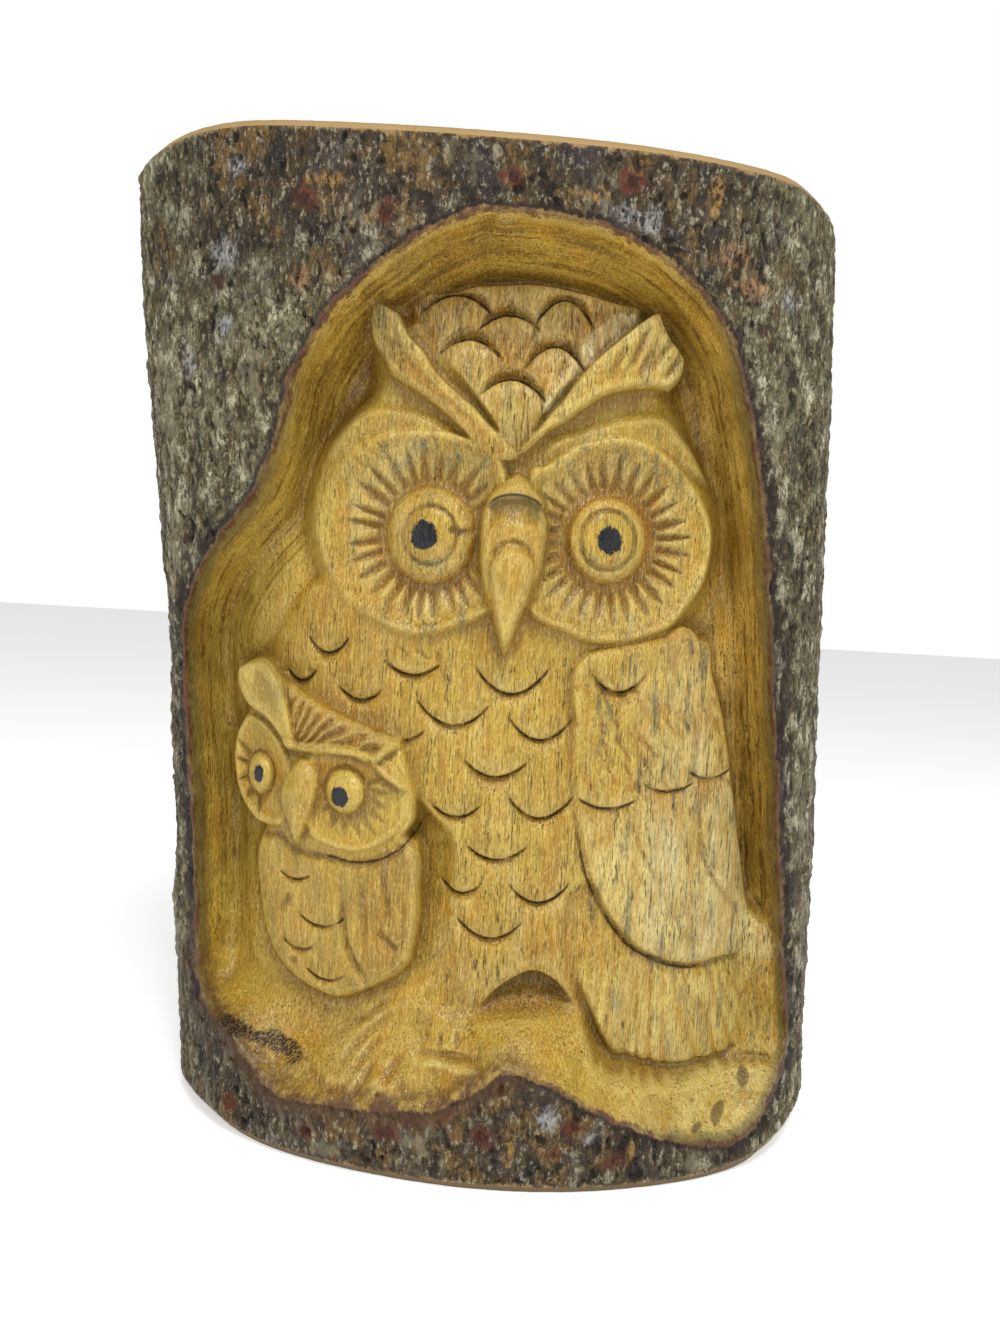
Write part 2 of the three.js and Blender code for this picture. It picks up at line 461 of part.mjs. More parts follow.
function barkSwelling(angle, z) {
  const broad = Math.sin(3 * angle + 0.03 * z);
  const narrow = 0.6 * Math.sin(7 * angle - 0.05 * z + 1);
  return BARK_SWELL * (broad + narrow);
}

function rimBevels(angle) {
  const left = aroundRim(angle, -1.3, 0.3);
  const right = aroundRim(angle, 1.2, 0.28);
  const lowLeft = aroundRim(angle, -1.05, 0.3);
  return {
    top: TOP_BEVEL + WORN_CORNER * (0.3 * left + 0.15 * right),
    base: BASE_BEVEL + WORN_CORNER * (right + 0.5 * lowLeft),
  };
}

function topHeight(angle) {
  let raised = 1.1 * Math.sin(angle) ** 2 + 0.28 * (1 - Math.cos(4 * angle));
  raised += 1.7 * aroundRim(angle, -0.72, 0.34) + 1.4 * aroundRim(angle, 1, 0.25);
  return HEIGHT + TOP_SLOPE * TOP_RADIUS * Math.sin(angle) + raised - 0.2;
}

// How far forward each angle lies on the outside.
function roundness(angle) {
  const c = Math.cos(angle);
  return c > 0 ? c ** FRONT_FULLNESS : c;
}

// A point of the outside; angle 0 is the middle of the front, `inset` shrinks the radius.
function logPoint(angle, z, inset) {
  const rise = z / HEIGHT;
  const waist = 2 * aroundRim(angle, -1.5, 0.35) * Math.exp(-(((z - 86) / 40) ** 2));
  const even = BASE_RADIUS + (TOP_RADIUS - BASE_RADIUS) * rise;
  const radius = even + barkSwelling(angle, z) - waist;
  const axis = AXIS_AT_BASE + (AXIS_AT_TOP - AXIS_AT_BASE) * rise;
  const x = axis + (radius - inset) * Math.sin(angle);
  let y = -(radius - inset) * roundness(angle);
  if (inset === 0 && Math.abs(angle) < CARVED_ANGLE) {
    y += carvedDepth(x, z) / Math.max(Math.cos(angle), 0.3);
  }
  return new THREE.Vector3(x, y, z);
}

// a fine net over the whole log
function columnAngles() {
  const angles = [];
  for (let i = 0; i < FRONT_COLUMNS; i += 1) {
    angles.push(-CARVED_ANGLE + (2 * CARVED_ANGLE * i) / FRONT_COLUMNS);
  }
  const rest = 2 * (Math.PI - CARVED_ANGLE);
  for (let i = 0; i < BACK_COLUMNS; i += 1) {
    const angle = CARVED_ANGLE + (rest * i) / BACK_COLUMNS;
    angles.push(angle > Math.PI ? angle - 2 * Math.PI : angle);
  }
  return angles;
}

// Rings of nodes: inner base ring, the side from its foot to its rim, inner top ring.
function fineNet() {
  const angles = columnAngles();
  const nodes = [];
  for (let ring = 0; ring < SIDE_ROWS + 3; ring += 1) {
    for (const angle of angles) {
      const bevel = rimBevels(angle);
      const low = bevel.base;
      const high = topHeight(angle) - bevel.top;
      if (ring === 0) nodes.push(logPoint(angle, 0, 0.9 * bevel.base));
      else if (ring === SIDE_ROWS + 2) nodes.push(logPoint(angle, topHeight(angle), 0.9 * bevel.top));
      else nodes.push(logPoint(angle, low + ((high - low) * (ring - 1)) / SIDE_ROWS, 0));
    }
  }
  const faces = [];
  const around = angles.length;
  for (let ring = 0; ring < SIDE_ROWS + 2; ring += 1) {
    for (let i = 0; i < around; i += 1) {
      const a = ring * around + i;
      const b = ring * around + ((i + 1) % around);
      faces.push([a, b, b + around], [a, b + around, a + around]);
    }
  }
  const lastRing = (SIDE_ROWS + 2) * around;
  const baseCentre = nodes.push(new THREE.Vector3(AXIS_AT_BASE, 0, 0)) - 1;
  const topCentre = nodes.push(new THREE.Vector3(AXIS_AT_TOP, 0, HEIGHT)) - 1;
  for (let i = 0; i < around; i += 1) {
    const next = (i + 1) % around;
    faces.push([next, i, baseCentre], [lastRing + i, lastRing + next, topCentre]);
  }
  return { nodes, faces };
}

// facets: nodes are merged into a neighbour where the surface changes least
class Queue {
  constructor() {
    this.items = [];
  }

  push(item) {
    const { items } = this;
    let at = items.push(item) - 1;
    while (at > 0) {
      const parent = (at - 1) >> 1;
      if (items[parent].cost <= items[at].cost) break;
      [items[parent], items[at]] = [items[at], items[parent]];
      at = parent;
    }
  }

  pop() {
    const { items } = this;
    const first = items[0];
    const last = items.pop();
    if (items.length > 0) {
      items[0] = last;
      let at = 0;
      for (;;) {
        let small = 2 * at + 1;
        if (small >= items.length) break;
        if (small + 1 < items.length && items[small + 1].cost < items[small].cost) small += 1;
        if (items[at].cost <= items[small].cost) break;
        [items[small], items[at]] = [items[at], items[small]];
        at = small;
      }
    }
    return first;
  }
}

const edgeA = new THREE.Vector3();
const edgeB = new THREE.Vector3();

function faceNormal(a, b, c) {
  return new THREE.Vector3().crossVectors(edgeA.subVectors(b, a), edgeB.subVectors(c, a));
}

// Sum of squared distances to the planes of the faces around a node, as ten terms.
function planeTerms(nodes, faces) {
  const terms = nodes.map(() => new Float64Array(10));
  for (const [a, b, c] of faces) {
    const n = faceNormal(nodes[a], nodes[b], nodes[c]);
    const area = n.length() / 2;
    n.normalize();
    const d = -n.dot(nodes[a]);
    const plane = [n.x, n.y, n.z, d];
    for (const node of [a, b, c]) {
      let k = 0;
      for (let i = 0; i < 4; i += 1) {
        for (let j = i; j < 4; j += 1) {
          terms[node][k] += area * plane[i] * plane[j];
          k += 1;
        }
      }
    }
  }
  return terms;
}

function strayed(q, p) {
  const fixed = q[9] + 2 * (q[3] * p.x + q[6] * p.y + q[8] * p.z);
  const mixed = 2 * (q[1] * p.x * p.y + q[2] * p.x * p.z + q[5] * p.y * p.z);
  return Math.max(0, q[0] * p.x * p.x + q[4] * p.y * p.y + q[7] * p.z * p.z + mixed + fixed);
}

function mergeNodes({ nodes, faces }, wanted) {
  const terms = planeTerms(nodes, faces);
  const facesOf = nodes.map(() => new Set());
  faces.forEach((face, id) => face.forEach((node) => facesOf[node].add(id)));
  const version = new Uint32Array(nodes.length);
  const alive = faces.map(() => true);
  let left = faces.length;

  const neighbours = (node) => {
    const found = new Set();
    for (const id of facesOf[node]) faces[id].forEach((other) => found.add(other));
    found.delete(node);
    return found;
  };
  const queue = new Queue();
  const offer = (from, to) => {
    const length = nodes[from].distanceToSquared(nodes[to]);
    const cost = strayed(terms[from], nodes[to]) + strayed(terms[to], nodes[to]) + 1e-5 * length;
    queue.push({ cost, from, to, stamp: version[from] + version[to] });
  };
  const keepsShape = (from, to) => {
    const shared = neighbours(to);
    let common = 0;
    for (const other of neighbours(from)) if (shared.has(other)) common += 1;
    if (common !== 2) return false;
    for (const id of facesOf[from]) {
      const face = faces[id];
      if (!face.includes(to)) {
        const before = faceNormal(...face.map((node) => nodes[node]));
        const after = faceNormal(...face.map((node) => nodes[node === from ? to : node]));
        const agree = before.dot(after);
        if (agree <= 0.25 * before.length() * after.length() || after.length() < 0.02) return false;
      }
    }
    return true;
  };

  nodes.forEach((_, node) => neighbours(node).forEach((other) => offer(node, other)));
  while (left > wanted) {
    const { from, to, stamp } = queue.pop();
    const current = facesOf[from].size > 0 && facesOf[to].size > 0
      && stamp === version[from] + version[to];
    if (current && keepsShape(from, to)) {
      for (const id of [...facesOf[from]]) {
        const face = faces[id];
        if (face.includes(to)) {
          alive[id] = false;
          left -= 1;
          face.forEach((node) => facesOf[node].delete(id));
        } else {
          face[face.indexOf(from)] = to;
          facesOf[to].add(id);
        }
      }
      facesOf[from].clear();
      terms[from].forEach((term, k) => { terms[to][k] += term; });
      version[to] += 1;
      for (const other of neighbours(to)) {
        offer(to, other);
        offer(other, to);
      }
    }
  }
  return faces.filter((_, id) => alive[id]);
}

function carvedLog() {
  const net = fineNet();
  const faces = mergeNodes(net, TRIANGLES);
  const kept = new Map();
  const positions = [];
  const index = faces.flat().map((node) => {
    if (!kept.has(node)) {
      kept.set(node, kept.size);
      positions.push(...net.nodes[node].toArray());
    }
    return kept.get(node);
  });
  const geometry = new THREE.BufferGeometry();
  geometry.setAttribute('position', new THREE.Float32BufferAttribute(positions, 3));
  geometry.setIndex(index);
  geometry.computeVertexNormals();
  return geometry;
}

const wood = new THREE.MeshStandardMaterial({ color: 0xb48c46, roughness: 0.6, metalness: 0 });

const group = new THREE.Group();
group.name = 'wooden_owl_carving';
const carving = new THREE.Mesh(carvedLog(), wood);
carving.name = 'owl_carving';
group.add(carving);

export default group;
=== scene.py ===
# Owl and owlet carved in relief into the front of one short log with its bark left on.
# Metres. Z is up, the carving faces -Y, X runs to the viewer's right.
import math

import bpy
import numpy as np
from mathutils import Matrix, Vector


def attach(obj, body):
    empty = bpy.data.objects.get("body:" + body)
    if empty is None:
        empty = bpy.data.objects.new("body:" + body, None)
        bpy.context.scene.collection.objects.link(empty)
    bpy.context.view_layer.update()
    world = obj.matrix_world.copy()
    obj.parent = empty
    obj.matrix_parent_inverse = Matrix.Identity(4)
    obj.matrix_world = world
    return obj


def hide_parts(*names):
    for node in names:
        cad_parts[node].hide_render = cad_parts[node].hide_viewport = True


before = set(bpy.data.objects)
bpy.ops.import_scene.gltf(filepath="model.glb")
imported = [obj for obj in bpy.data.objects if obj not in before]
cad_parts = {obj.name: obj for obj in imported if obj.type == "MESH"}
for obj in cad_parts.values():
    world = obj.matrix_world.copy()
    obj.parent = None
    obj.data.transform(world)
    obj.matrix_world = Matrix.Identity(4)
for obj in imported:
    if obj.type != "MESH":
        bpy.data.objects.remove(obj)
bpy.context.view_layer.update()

MM = 0.001

# The log, in millimetres
HEIGHT = 199.6
TOP_RADIUS = 77.8
BASE_RADIUS = 72.2
AXIS_AT_BASE = 8.6
AXIS_AT_TOP = -3
TOP_SLOPE = -0.02
BARK_SWELL = 0.5
FRONT_FULLNESS = 0.82
TOP_BEVEL = 1.4
BASE_BEVEL = 1.4
WORN_CORNER = 4.5
CARVED_ANGLE = 1.25

# Depths of the carving under the bark, in millimetres
GROUND = 15.0
GROUND_AT_HEAD = 2.0
BREAST = 12.6
BREAST_SWELL = 2.2
WING_TOP = 10.8
TAIL_TOP = 11.6
HEAD_SIDE = 12.6
CROWN = 13.9
CROWN_RISE = 3.0
FACE = 10.3
TUFT = 8.6
BEAK_ROOT = 9.6
BEAK_SWELL = 4.6
BILL = 5.7
ARCH_HOLLOW = 17.5
OWLET_BODY = 9.4
OWLET_HEAD = 9.2
OWLET_FACE = 8.2
OWLET_EAR = 6.6
OWLET_BEAK = 5.2
WALL_RUN = 8.5
SHELF_RUN = 7.5
EYE_RAYS = 28

# Gouge cuts past the feather ends: depth, and how far each runs out compared with its list
BREAST_CUT, BREAST_CUT_RUN = 1.5, 1.3
CROWN_CUT, CROWN_CUT_RUN = 2.4, 1.25
COVERT_CUT, COVERT_CUT_RUN = 1.1, 1.4
OWLET_CUT, OWLET_CUT_RUN = 0.9, 1.1
BROAD_FEATHER = 2.6
BROAD_CUT = 1.9
KNIFE_REACH = 0.9
NO_KNIFE = 3.0

# How far the distance to the bark's edge is kept, and the girth that bark patterns follow
EDGE_REACH = 12.0
GIRTH_RADIUS = 76.0
FINE_WINDOW = 4
BROAD_WINDOW = 18

# How finely the surface is worked before it is thinned
FRONT_COLUMNS = 500
BACK_COLUMNS = 170
SIDE_ROWS = 540
END_RINGS = 16
FAR_OFF = 9.0
MOST_TRIANGLES = 190000


def tint(red, green, blue):
    """A colour given as screen values, turned into light values."""
    return tuple(((c / 255) / 12.92) if c < 10 else (((c / 255) + 0.055) / 1.055) ** 2.4
                 for c in (red, green, blue))


# Wood tones, also used for painted light and shade
CREAM = tint(202, 186, 116)
PALE = tint(178, 153, 68)
YELLOW = tint(174, 145, 56)
OCHRE = tint(156, 122, 40)
DEEP_OCHRE = tint(126, 94, 24)
ORANGE = tint(148, 98, 28)
UMBER = tint(74, 50, 16)
OLIVE = tint(104, 94, 48)
BLACK_BROWN = tint(34, 24, 12)

# Outlines on the front, each a closed run of (x, z)
RECESS = [(4, 185.8), (22, 184.2), (37.5, 177.6), (48.2, 166.4), (54, 150), (58.1, 130.7),
          (61.8, 104.7), (65.8, 74), (70.1, 38.6), (72, 24), (69, 13.5), (60, 6),
          (43.6, 9.7), (29, 16.7), (14.5, 23.8), (6.6, 19.5), (-1, 15.4), (-18, 13),
          (-34.9, 13), (-45, 21.5), (-53.6, 26.5), (-55.9, 43), (-57.9, 70), (-60.3, 96),
          (-59.3, 109), (-52.5, 121.5), (-43, 133), (-38.5, 144), (-35.5, 156), (-28, 168),
          (-18, 176.5), (-6, 184)]
TORSO = [(-33, 117), (-40, 107), (-43, 98), (-40, 88), (-28, 80), (-14, 74), (-3.5, 66),
         (-2.8, 52), (-3, 36), (4, 30), (16, 31), (28, 32), (50, 26), (68, 34), (64, 50),
         (59.3, 68), (54.6, 90), (48.6, 108), (40, 112), (8, 118), (-20, 118)]
HEAD = [(-36, 128), (-34, 141), (-27.5, 149.5), (-22.5, 155), (-24, 162), (-21.5, 168.5),
        (-15.5, 170), (-6, 174.6), (3, 176), (12, 176.4), (24, 174.5), (33.5, 171.8),
        (38.5, 167.5), (41, 162), (39, 156), (45.5, 145), (50.5, 135), (51.3, 127),
        (49.5, 118), (45.5, 111.5), (40.5, 106), (33, 104), (24, 103.6), (15, 105.5),
        (8, 102), (0, 106.5), (-9, 103.2), (-18, 104), (-27, 109), (-33, 118)]
FOREHEAD = [(-15, 169.5), (-6, 174), (3, 175.4), (12, 175.8), (24, 174), (31, 171),
            (16, 154), (7.8, 141.5), (0, 151)]
LEFT_DISC = [(-31.8, 127), (-29.5, 136.5), (-23.3, 143.6), (-15.2, 146.5), (-7, 146.4),
             (0, 145), (6, 140.5), (7.5, 128), (6, 113), (-2, 107.6), (-10, 105.5),
             (-15, 106.5), (-20.3, 108.6), (-25.8, 112.5), (-30, 119)]
RIGHT_DISC = [(13.5, 141), (18.7, 145), (23.6, 146.8), (29.5, 147.6), (35.9, 146),
              (42.3, 140.8), (47, 134.8), (49, 128.5), (47.8, 120), (44.2, 114),
              (40.8, 109.9), (35.2, 107.4), (29.8, 106.1), (24.4, 106), (19.1, 107.7),
              (11, 112), (9, 126), (10, 139)]
LEFT_TUFT = [(-21.4, 170), (-20, 170), (-16.2, 168.2), (-15.6, 167.4), (-13.8, 163.9),
             (-10.9, 161), (-8.4, 157.3), (-4.8, 154.1), (-0.8, 150.9), (2.5, 147.7),
             (5.7, 144.8), (8.4, 141.6), (5.2, 140.2), (0.4, 142.9), (-4, 146.7), (-6.4, 148.8),
             (-9.3, 151), (-13.3, 153.5), (-17.3, 155.9), (-19.1, 159.1), (-21.4, 162.1),
             (-22.2, 166)]
RIGHT_TUFT = [(33.4, 171.6), (34.4, 171), (36, 168), (37.4, 166.2), (39.6, 163.8), (40, 162.8),
              (39.6, 159.8), (37.4, 157.2), (36.6, 156.8), (32.9, 156.5), (28.9, 155.8),
              (24.3, 154.2), (20.6, 151.6), (16.9, 148.6), (13.2, 146.1), (9.6, 142.6),
              (7.8, 141.8), (9.4, 144.4), (13.4, 150.3), (15.5, 152.7), (18.3, 157.1),
              (22.3, 162), (26.3, 165.8), (31.2, 170.3)]
LEFT_BROW_BAND = [(-26, 148.4), (-21.4, 150.9), (-17.3, 151.2), (-13.3, 150.7), (-9.3, 149.6),
                  (-4.1, 146.8), (2, 142), (-2.8, 143), (-9.1, 144), (-17, 144),
                  (-22.6, 142.5), (-28, 138.5), (-30.5, 141.5)]
RIGHT_BROW_BAND = [(13.2, 145.5), (18.9, 148.3), (26.5, 151.3), (34.9, 153), (39.6, 150.4),
                   (44.4, 145.6), (48, 139), (44, 139), (36.1, 143.5), (32.7, 144.5),
                   (25.6, 144.5), (17.9, 142.6), (12.8, 140.1)]
TUFT_STRIP = [(26, 171.4), (22, 168), (18.4, 163.2), (16, 158.6), (12.6, 152.4), (13.4, 150.3),
              (15.5, 152.7), (18.3, 157.1), (22.3, 162), (26.3, 165.8), (31.2, 170.3)]
FOOT = [(-7, 34), (-13, 30.8), (-20, 25.4), (-27.4, 19.4), (-22, 15.4), (-12, 15),
        (-5, 19), (1, 24), (3, 29.5)]
BEAK = [(8.2, 139), (3.4, 135.5), (1.3, 131), (0.9, 125), (1.6, 118), (4, 110.5),
        (7.4, 102.6), (11, 110), (14, 117.5), (15.2, 125), (14.8, 130.5), (13, 135.3)]
BILL_TIP = [(8.3, 124.4), (5, 123), (3.9, 119.5), (4.8, 112.5), (7.4, 103.4),
            (10.4, 110), (12.5, 118), (12.2, 122.4)]
WING = [(21.6, 103), (21.4, 90), (22.4, 76.4), (23.8, 69.5), (26, 61), (29, 54.5),
        (33.4, 48.3), (37, 44.8), (42.6, 41.9), (49, 40), (57, 40.2), (65, 39.5),
        (72, 41), (63.5, 50), (61.5, 58), (59.3, 68), (54.6, 90), (51, 100.6),
        (48.6, 108), (35, 108)]
TAIL = [(24.5, 55), (24.7, 41.5), (28.4, 32), (32.4, 24.3), (38, 22.3), (45.7, 19.8),
        (57, 19.4), (64, 20.2), (71, 23.5), (74, 40), (60, 52), (36, 56)]
ARCH_TOP = [(4.6, 28), (5.4, 32.5), (8.6, 37.8), (12.2, 40.8), (16, 42), (19.6, 41.6),
            (22.6, 40), (26.8, 34.6), (30, 28), (18, 22)]
TAIL_FOOT_SHADE = [(23.5, 39), (27, 33.6), (30.6, 26.4), (33, 23.4)]
ARCH = [(5.5, 31), (8, 35.5), (12, 39), (16.5, 41), (21, 39.3), (25, 35), (28.5, 29.5),
        (24, 29.5), (16, 31), (10, 30)]
OWLET_HEAD_EDGE = [(-46.3, 88.4), (-49.6, 82), (-50, 75), (-48.2, 69.3), (-45, 65.3),
                   (-41, 63.6), (-36.5, 64), (-32.4, 61.4), (-25, 61.2), (-20.5, 60.7),
                   (-15.3, 61.8), (-10.6, 65), (-7.6, 69.5), (-7.8, 75), (-9.3, 80),
                   (-11.6, 85.8), (-14.3, 86.6), (-20, 88.3), (-31, 93), (-36, 95.5),
                   (-42, 99.6), (-47.8, 97.8), (-48.7, 94), (-46.6, 90)]
OWLET_BODY_EDGE = [(-43.7, 60), (-43.3, 51), (-41.6, 43), (-38.5, 37), (-33, 32.6),
                   (-27, 30.6), (-22, 30.3), (-15, 33.6), (-8, 38.8), (-6, 45),
                   (-5.6, 54), (-7.5, 66), (-20, 70), (-38, 68)]
OWLET_LEFT_DISC = [(-45.8, 87.6), (-48.9, 82), (-49.1, 75), (-47.5, 69.8), (-44.5, 66.2),
                   (-41.5, 64.6), (-36, 65.2), (-33.5, 71), (-34.5, 79), (-38, 84.3),
                   (-41.5, 87)]
OWLET_RIGHT_DISC = [(-30.2, 64.4), (-25.1, 62.4), (-20.6, 62), (-16.2, 63.2), (-12, 66.3),
                    (-9.3, 70.4), (-9.4, 75), (-11.4, 79.5), (-15, 82.6), (-20, 83.2),
                    (-26, 82.6), (-31.5, 80.5), (-32, 71)]
OWLET_EAR_EDGE = [(-47.6, 97.4), (-42, 99.2), (-38.6, 97), (-36.2, 93), (-34.4, 87.5),
                  (-33.2, 82.2), (-35.6, 81.4), (-38, 84.2), (-41, 87), (-44, 88.3),
                  (-46.4, 90.3), (-48.2, 94)]
OWLET_CROWN = [(-36, 94.3), (-30, 91.6), (-21, 88.6), (-14, 86.4), (-12, 85.2),
               (-15, 83.4), (-19.5, 82.6), (-24, 83.3), (-33.4, 82.6)]
OWLET_BEAK_EDGE = [(-32, 80.2), (-35, 77), (-37, 72), (-35.3, 67), (-32.4, 61.8),
                   (-29.6, 68), (-27.7, 75.6), (-29.2, 79)]

# Rounded feather ends: x, z, half width, height, thickness of the cut
BREAST_FEATHERS = [(-10.4, 98.3, 5.7, 2.6, 1.6), (9.1, 95.7, 7.2, 5.2, 1.4),
                   (-1.9, 88.9, 7.1, 4.4, 1.4), (-12.4, 85.1, 5, 2.3, 1.3),
                   (15.3, 86.9, 6.3, 4.4, 1.3), (6.9, 79.3, 6, 3, 2.6),
                   (-0.5, 70.9, 5.2, 2.8, 1.3), (16.1, 71.4, 6.4, 4.4, 1.4),
                   (8, 62.9, 6, 2.8, 1.4), (1.4, 55.7, 4, 2, 1.3), (16.8, 54.4, 6, 4, 1.3),
                   (7.6, 46.8, 6.6, 4, 1.4), (-28.2, 101.4, 4.3, 3.2, 1.6),
                   (-33.8, 95.3, 3.3, 2.4, 1.4), (-20.8, 92.5, 4.6, 2.5, 1.3),
                   (30.3, 96.9, 5.8, 4.2, 2.6)]
CROWN_FEATHERS = [(-5.3, 172.3, 6.6, 3.4, 2.4), (5.2, 168.9, 6, 3, 2.2),
                  (15.6, 172.6, 5.6, 5.2, 2), (-2.4, 163.8, 5.9, 3.2, 2.2),
                  (14.2, 163.4, 6.2, 5.4, 2), (6.1, 156.4, 6.6, 4, 2)]
WING_COVERTS = [(29.6, 73.7, 6, 2, 5), (42, 77, 5.4, 1.7, 5), (50.8, 79.4, 4.6, 1.6, 5)]
OWLET_FEATHERS = [(-33.1, 54.6, 3.6, 1.4, 1.2), (-27, 45.9, 5, 2.2, 1.2),
                  (-31.6, 40.1, 3.5, 1.5, 1.2), (-25.4, 34.9, 4.3, 1.8, 1.2)]

# Single grooves and ridges, each an open run of (x, z)
FOOT_FOLDS = [[(-9, 34.4), (-15.7, 28.8), (-24.4, 21.7)], [(-8.8, 32), (-16.2, 25), (-23.2, 17)],
              [(-12.1, 26.8), (-16, 21.4), (-20.2, 16.7)], [(-12.6, 23.4), (-15.8, 17.7), (-18.8, 13)],
              [(-7.5, 23.5), (-10.4, 20), (-13.9, 15.6)],
              [(-7.5, 23.5), (-1, 23.7), (4.9, 24), (10.7, 23.5)]]
WING_QUILLS = [[(25, 72), (29, 60), (37, 48)], [(31, 72), (36, 58), (45, 45)],
               [(38, 75), (44, 58), (53, 43)], [(45, 76), (51, 60), (59, 46)],
               [(36, 97), (35.5, 88), (36, 78)], [(43, 98), (45.5, 88), (47, 80)]]
TUFT_SLITS = [[(33, 171.6), (30, 163.2), (27.9, 158.6)], [(35.4, 169.6), (31.6, 160.8), (30.1, 158)],
              [(38, 168.6), (34.4, 162.8), (32.3, 159.4)], [(40.4, 166), (37, 161), (34.9, 157.8)],
              [(27.6, 164.2), (24.5, 156.8)]]
BILL_ARCH = [(4.0, 120.6), (5.2, 123.8), (8.2, 125.2), (11.2, 123.8), (12.6, 120.6)]
WING_LINES = [[(33, 75), (36.7, 65.6), (41.7, 57.2), (47.3, 47.8), (54, 42.6)],
              [(49, 76), (49.9, 64.6), (54.5, 56.2), (62.5, 47)],
              [(30.5, 96), (31, 86)], [(33.9, 91), (35.5, 83.8), (35.9, 75)],
              [(46.5, 94), (47.5, 86), (47, 78)]]
OWLET_WING_EDGE = [(-22.8, 61), (-21.8, 46.5), (-20.3, 41.4), (-17.9, 37.8), (-15.6, 34.1)]
OWLET_WING_NOTCH = [(-15.3, 47.2), (-12.6, 45), (-10.2, 42.8)]
OWLET_QUILLS = [[(-14.9, 61), (-13.3, 54.6), (-12.2, 48)], [(-19, 58), (-17.6, 50), (-17.2, 42)]]
OWLET_BROW = [(-36, 84), (-34.8, 82.3), (-30.7, 82.2), (-25.7, 82.7), (-20.9, 82.6), (-17.2, 81)]
OWLET_RIGHT_BROW = [(-17.4, 80.8), (-14.8, 83.2), (-11.6, 85.6)]
OWLET_LID = [(-17.2, 81), (-14.5, 78.6), (-9.6, 76)]
OWLET_GOUGES = [[(-33.3, 51.6), (-36.5, 46.8)], [(-32.5, 38.4), (-32.4, 36.3)]]
# Wedge cuts beside the owlet's eyes: where each ends, its breadth at the eye
OWLET_RIGHT_CUTS = [(-14.3, 78.0, 1.9), (-13.0, 74.9, 2.1), (-13.0, 71.6, 2.2),
                    (-13.6, 68.4, 2.2), (-15.8, 66.0, 2.2), (-18.9, 64.7, 2.2),
                    (-22.2, 64.8, 2.1), (-25.4, 66.0, 1.9), (-28, 69, 1.3)]
OWLET_LEFT_CUTS = [(-48.6, 82.6, 1.4), (-49, 78, 1.1), (-48.6, 72.4, 1.1), (-46.2, 67.8, 1.2),
                   (-42, 65.8, 0.9)]
CHIN_GOUGES = [[(-13.5, 104), (-11, 101.5)], [(-9.5, 103.5), (-7, 101)],
               [(-5.8, 103.6), (-4.6, 100.6)]]
EYE_CRACK = [(-4.8, 127.3), (-3.2, 126.9), (-1.2, 126.8), (0.8, 127.5)]

# The eyes: centre, then half breadth and half height of socket, ball, iris and pupil
LEFT_EYE = {"x": -8.3, "z": 125.8, "socket": (9.7, 10.3), "ball": (9, 9.6),
            "iris": (5.3, 5.7), "pupil": (-9.35, 125.7, 2.85, 3.1)}
RIGHT_EYE = {"x": 26.5, "z": 126.8, "socket": (9.5, 9.9), "ball": (8, 8.6),
             "iris": (5.45, 5.8), "pupil": (26.8, 126.7, 2.75, 2.95)}
OWLET_EYES = [
    {"edge": OWLET_LEFT_DISC, "x": -41.8, "z": 75.3, "socket": (3.4, 4.6),
     "ball": (3.2, 4.4), "pupil": (-41.7, 75.5, 1.25, 1.95), "cuts": OWLET_LEFT_CUTS},
    {"edge": OWLET_RIGHT_DISC, "x": -22.6, "z": 74.4, "socket": (4.6, 5),
     "ball": (4.2, 4.6), "pupil": (-23.4, 73.4, 2.0, 2.3), "cuts": OWLET_RIGHT_CUTS},
]


def ease(t):
    """A smooth step from 0 to 1."""
    t = np.clip(t, 0, 1)
    return t * t * (3 - 2 * t)


def speckle(u, v, seed):
    """Smooth random values from -1 to 1 that change once per unit of u and v."""
    table = np.random.default_rng(seed).random((97, 89)) * 2 - 1
    i = np.floor(u).astype(int)
    j = np.floor(v).astype(int)
    fu = ease(u - i)
    fv = ease(v - j)
    low = table[i % 97, j % 89] * (1 - fu) + table[(i + 1) % 97, j % 89] * fu
    high = table[i % 97, (j + 1) % 89] * (1 - fu) + table[(i + 1) % 97, (j + 1) % 89] * fu
    return low * (1 - fv) + high * fv


def rough(u, v, seed, layers=3):
    """Several layers of speckle, each twice as fine and half as strong."""
    return sum(speckle(u * 2 ** k + 7.3 * k, v * 2 ** k + 3.1 * k, seed + k) * 0.5 ** k
               for k in range(layers)) / (2 - 0.5 ** (layers - 1))


def smooth_run(points, closed, steps):
    """A smooth curve through the given points, as short straight pieces."""
    p = np.array(points, float)
    if closed:
        a, b, c, d = np.roll(p, 1, 0), p, np.roll(p, -1, 0), np.roll(p, -2, 0)
    else:
        p = np.vstack([2 * p[0] - p[1], p, 2 * p[-1] - p[-2]])
        a, b, c, d = p[:-3], p[1:-2], p[2:-1], p[3:]
    t = (np.arange(steps) / steps)[None, :, None]
    a, b, c, d = (q[:, None, :] for q in (a, b, c, d))
    q = 0.5 * (2 * b + (c - a) * t + (2 * a - 5 * b + 4 * c - d) * t ** 2
               + (3 * b - a - 3 * c + d) * t ** 3)
    q = q.reshape(-1, 2)
    return np.vstack([q, q[:1] if closed else p[-2:-1]])


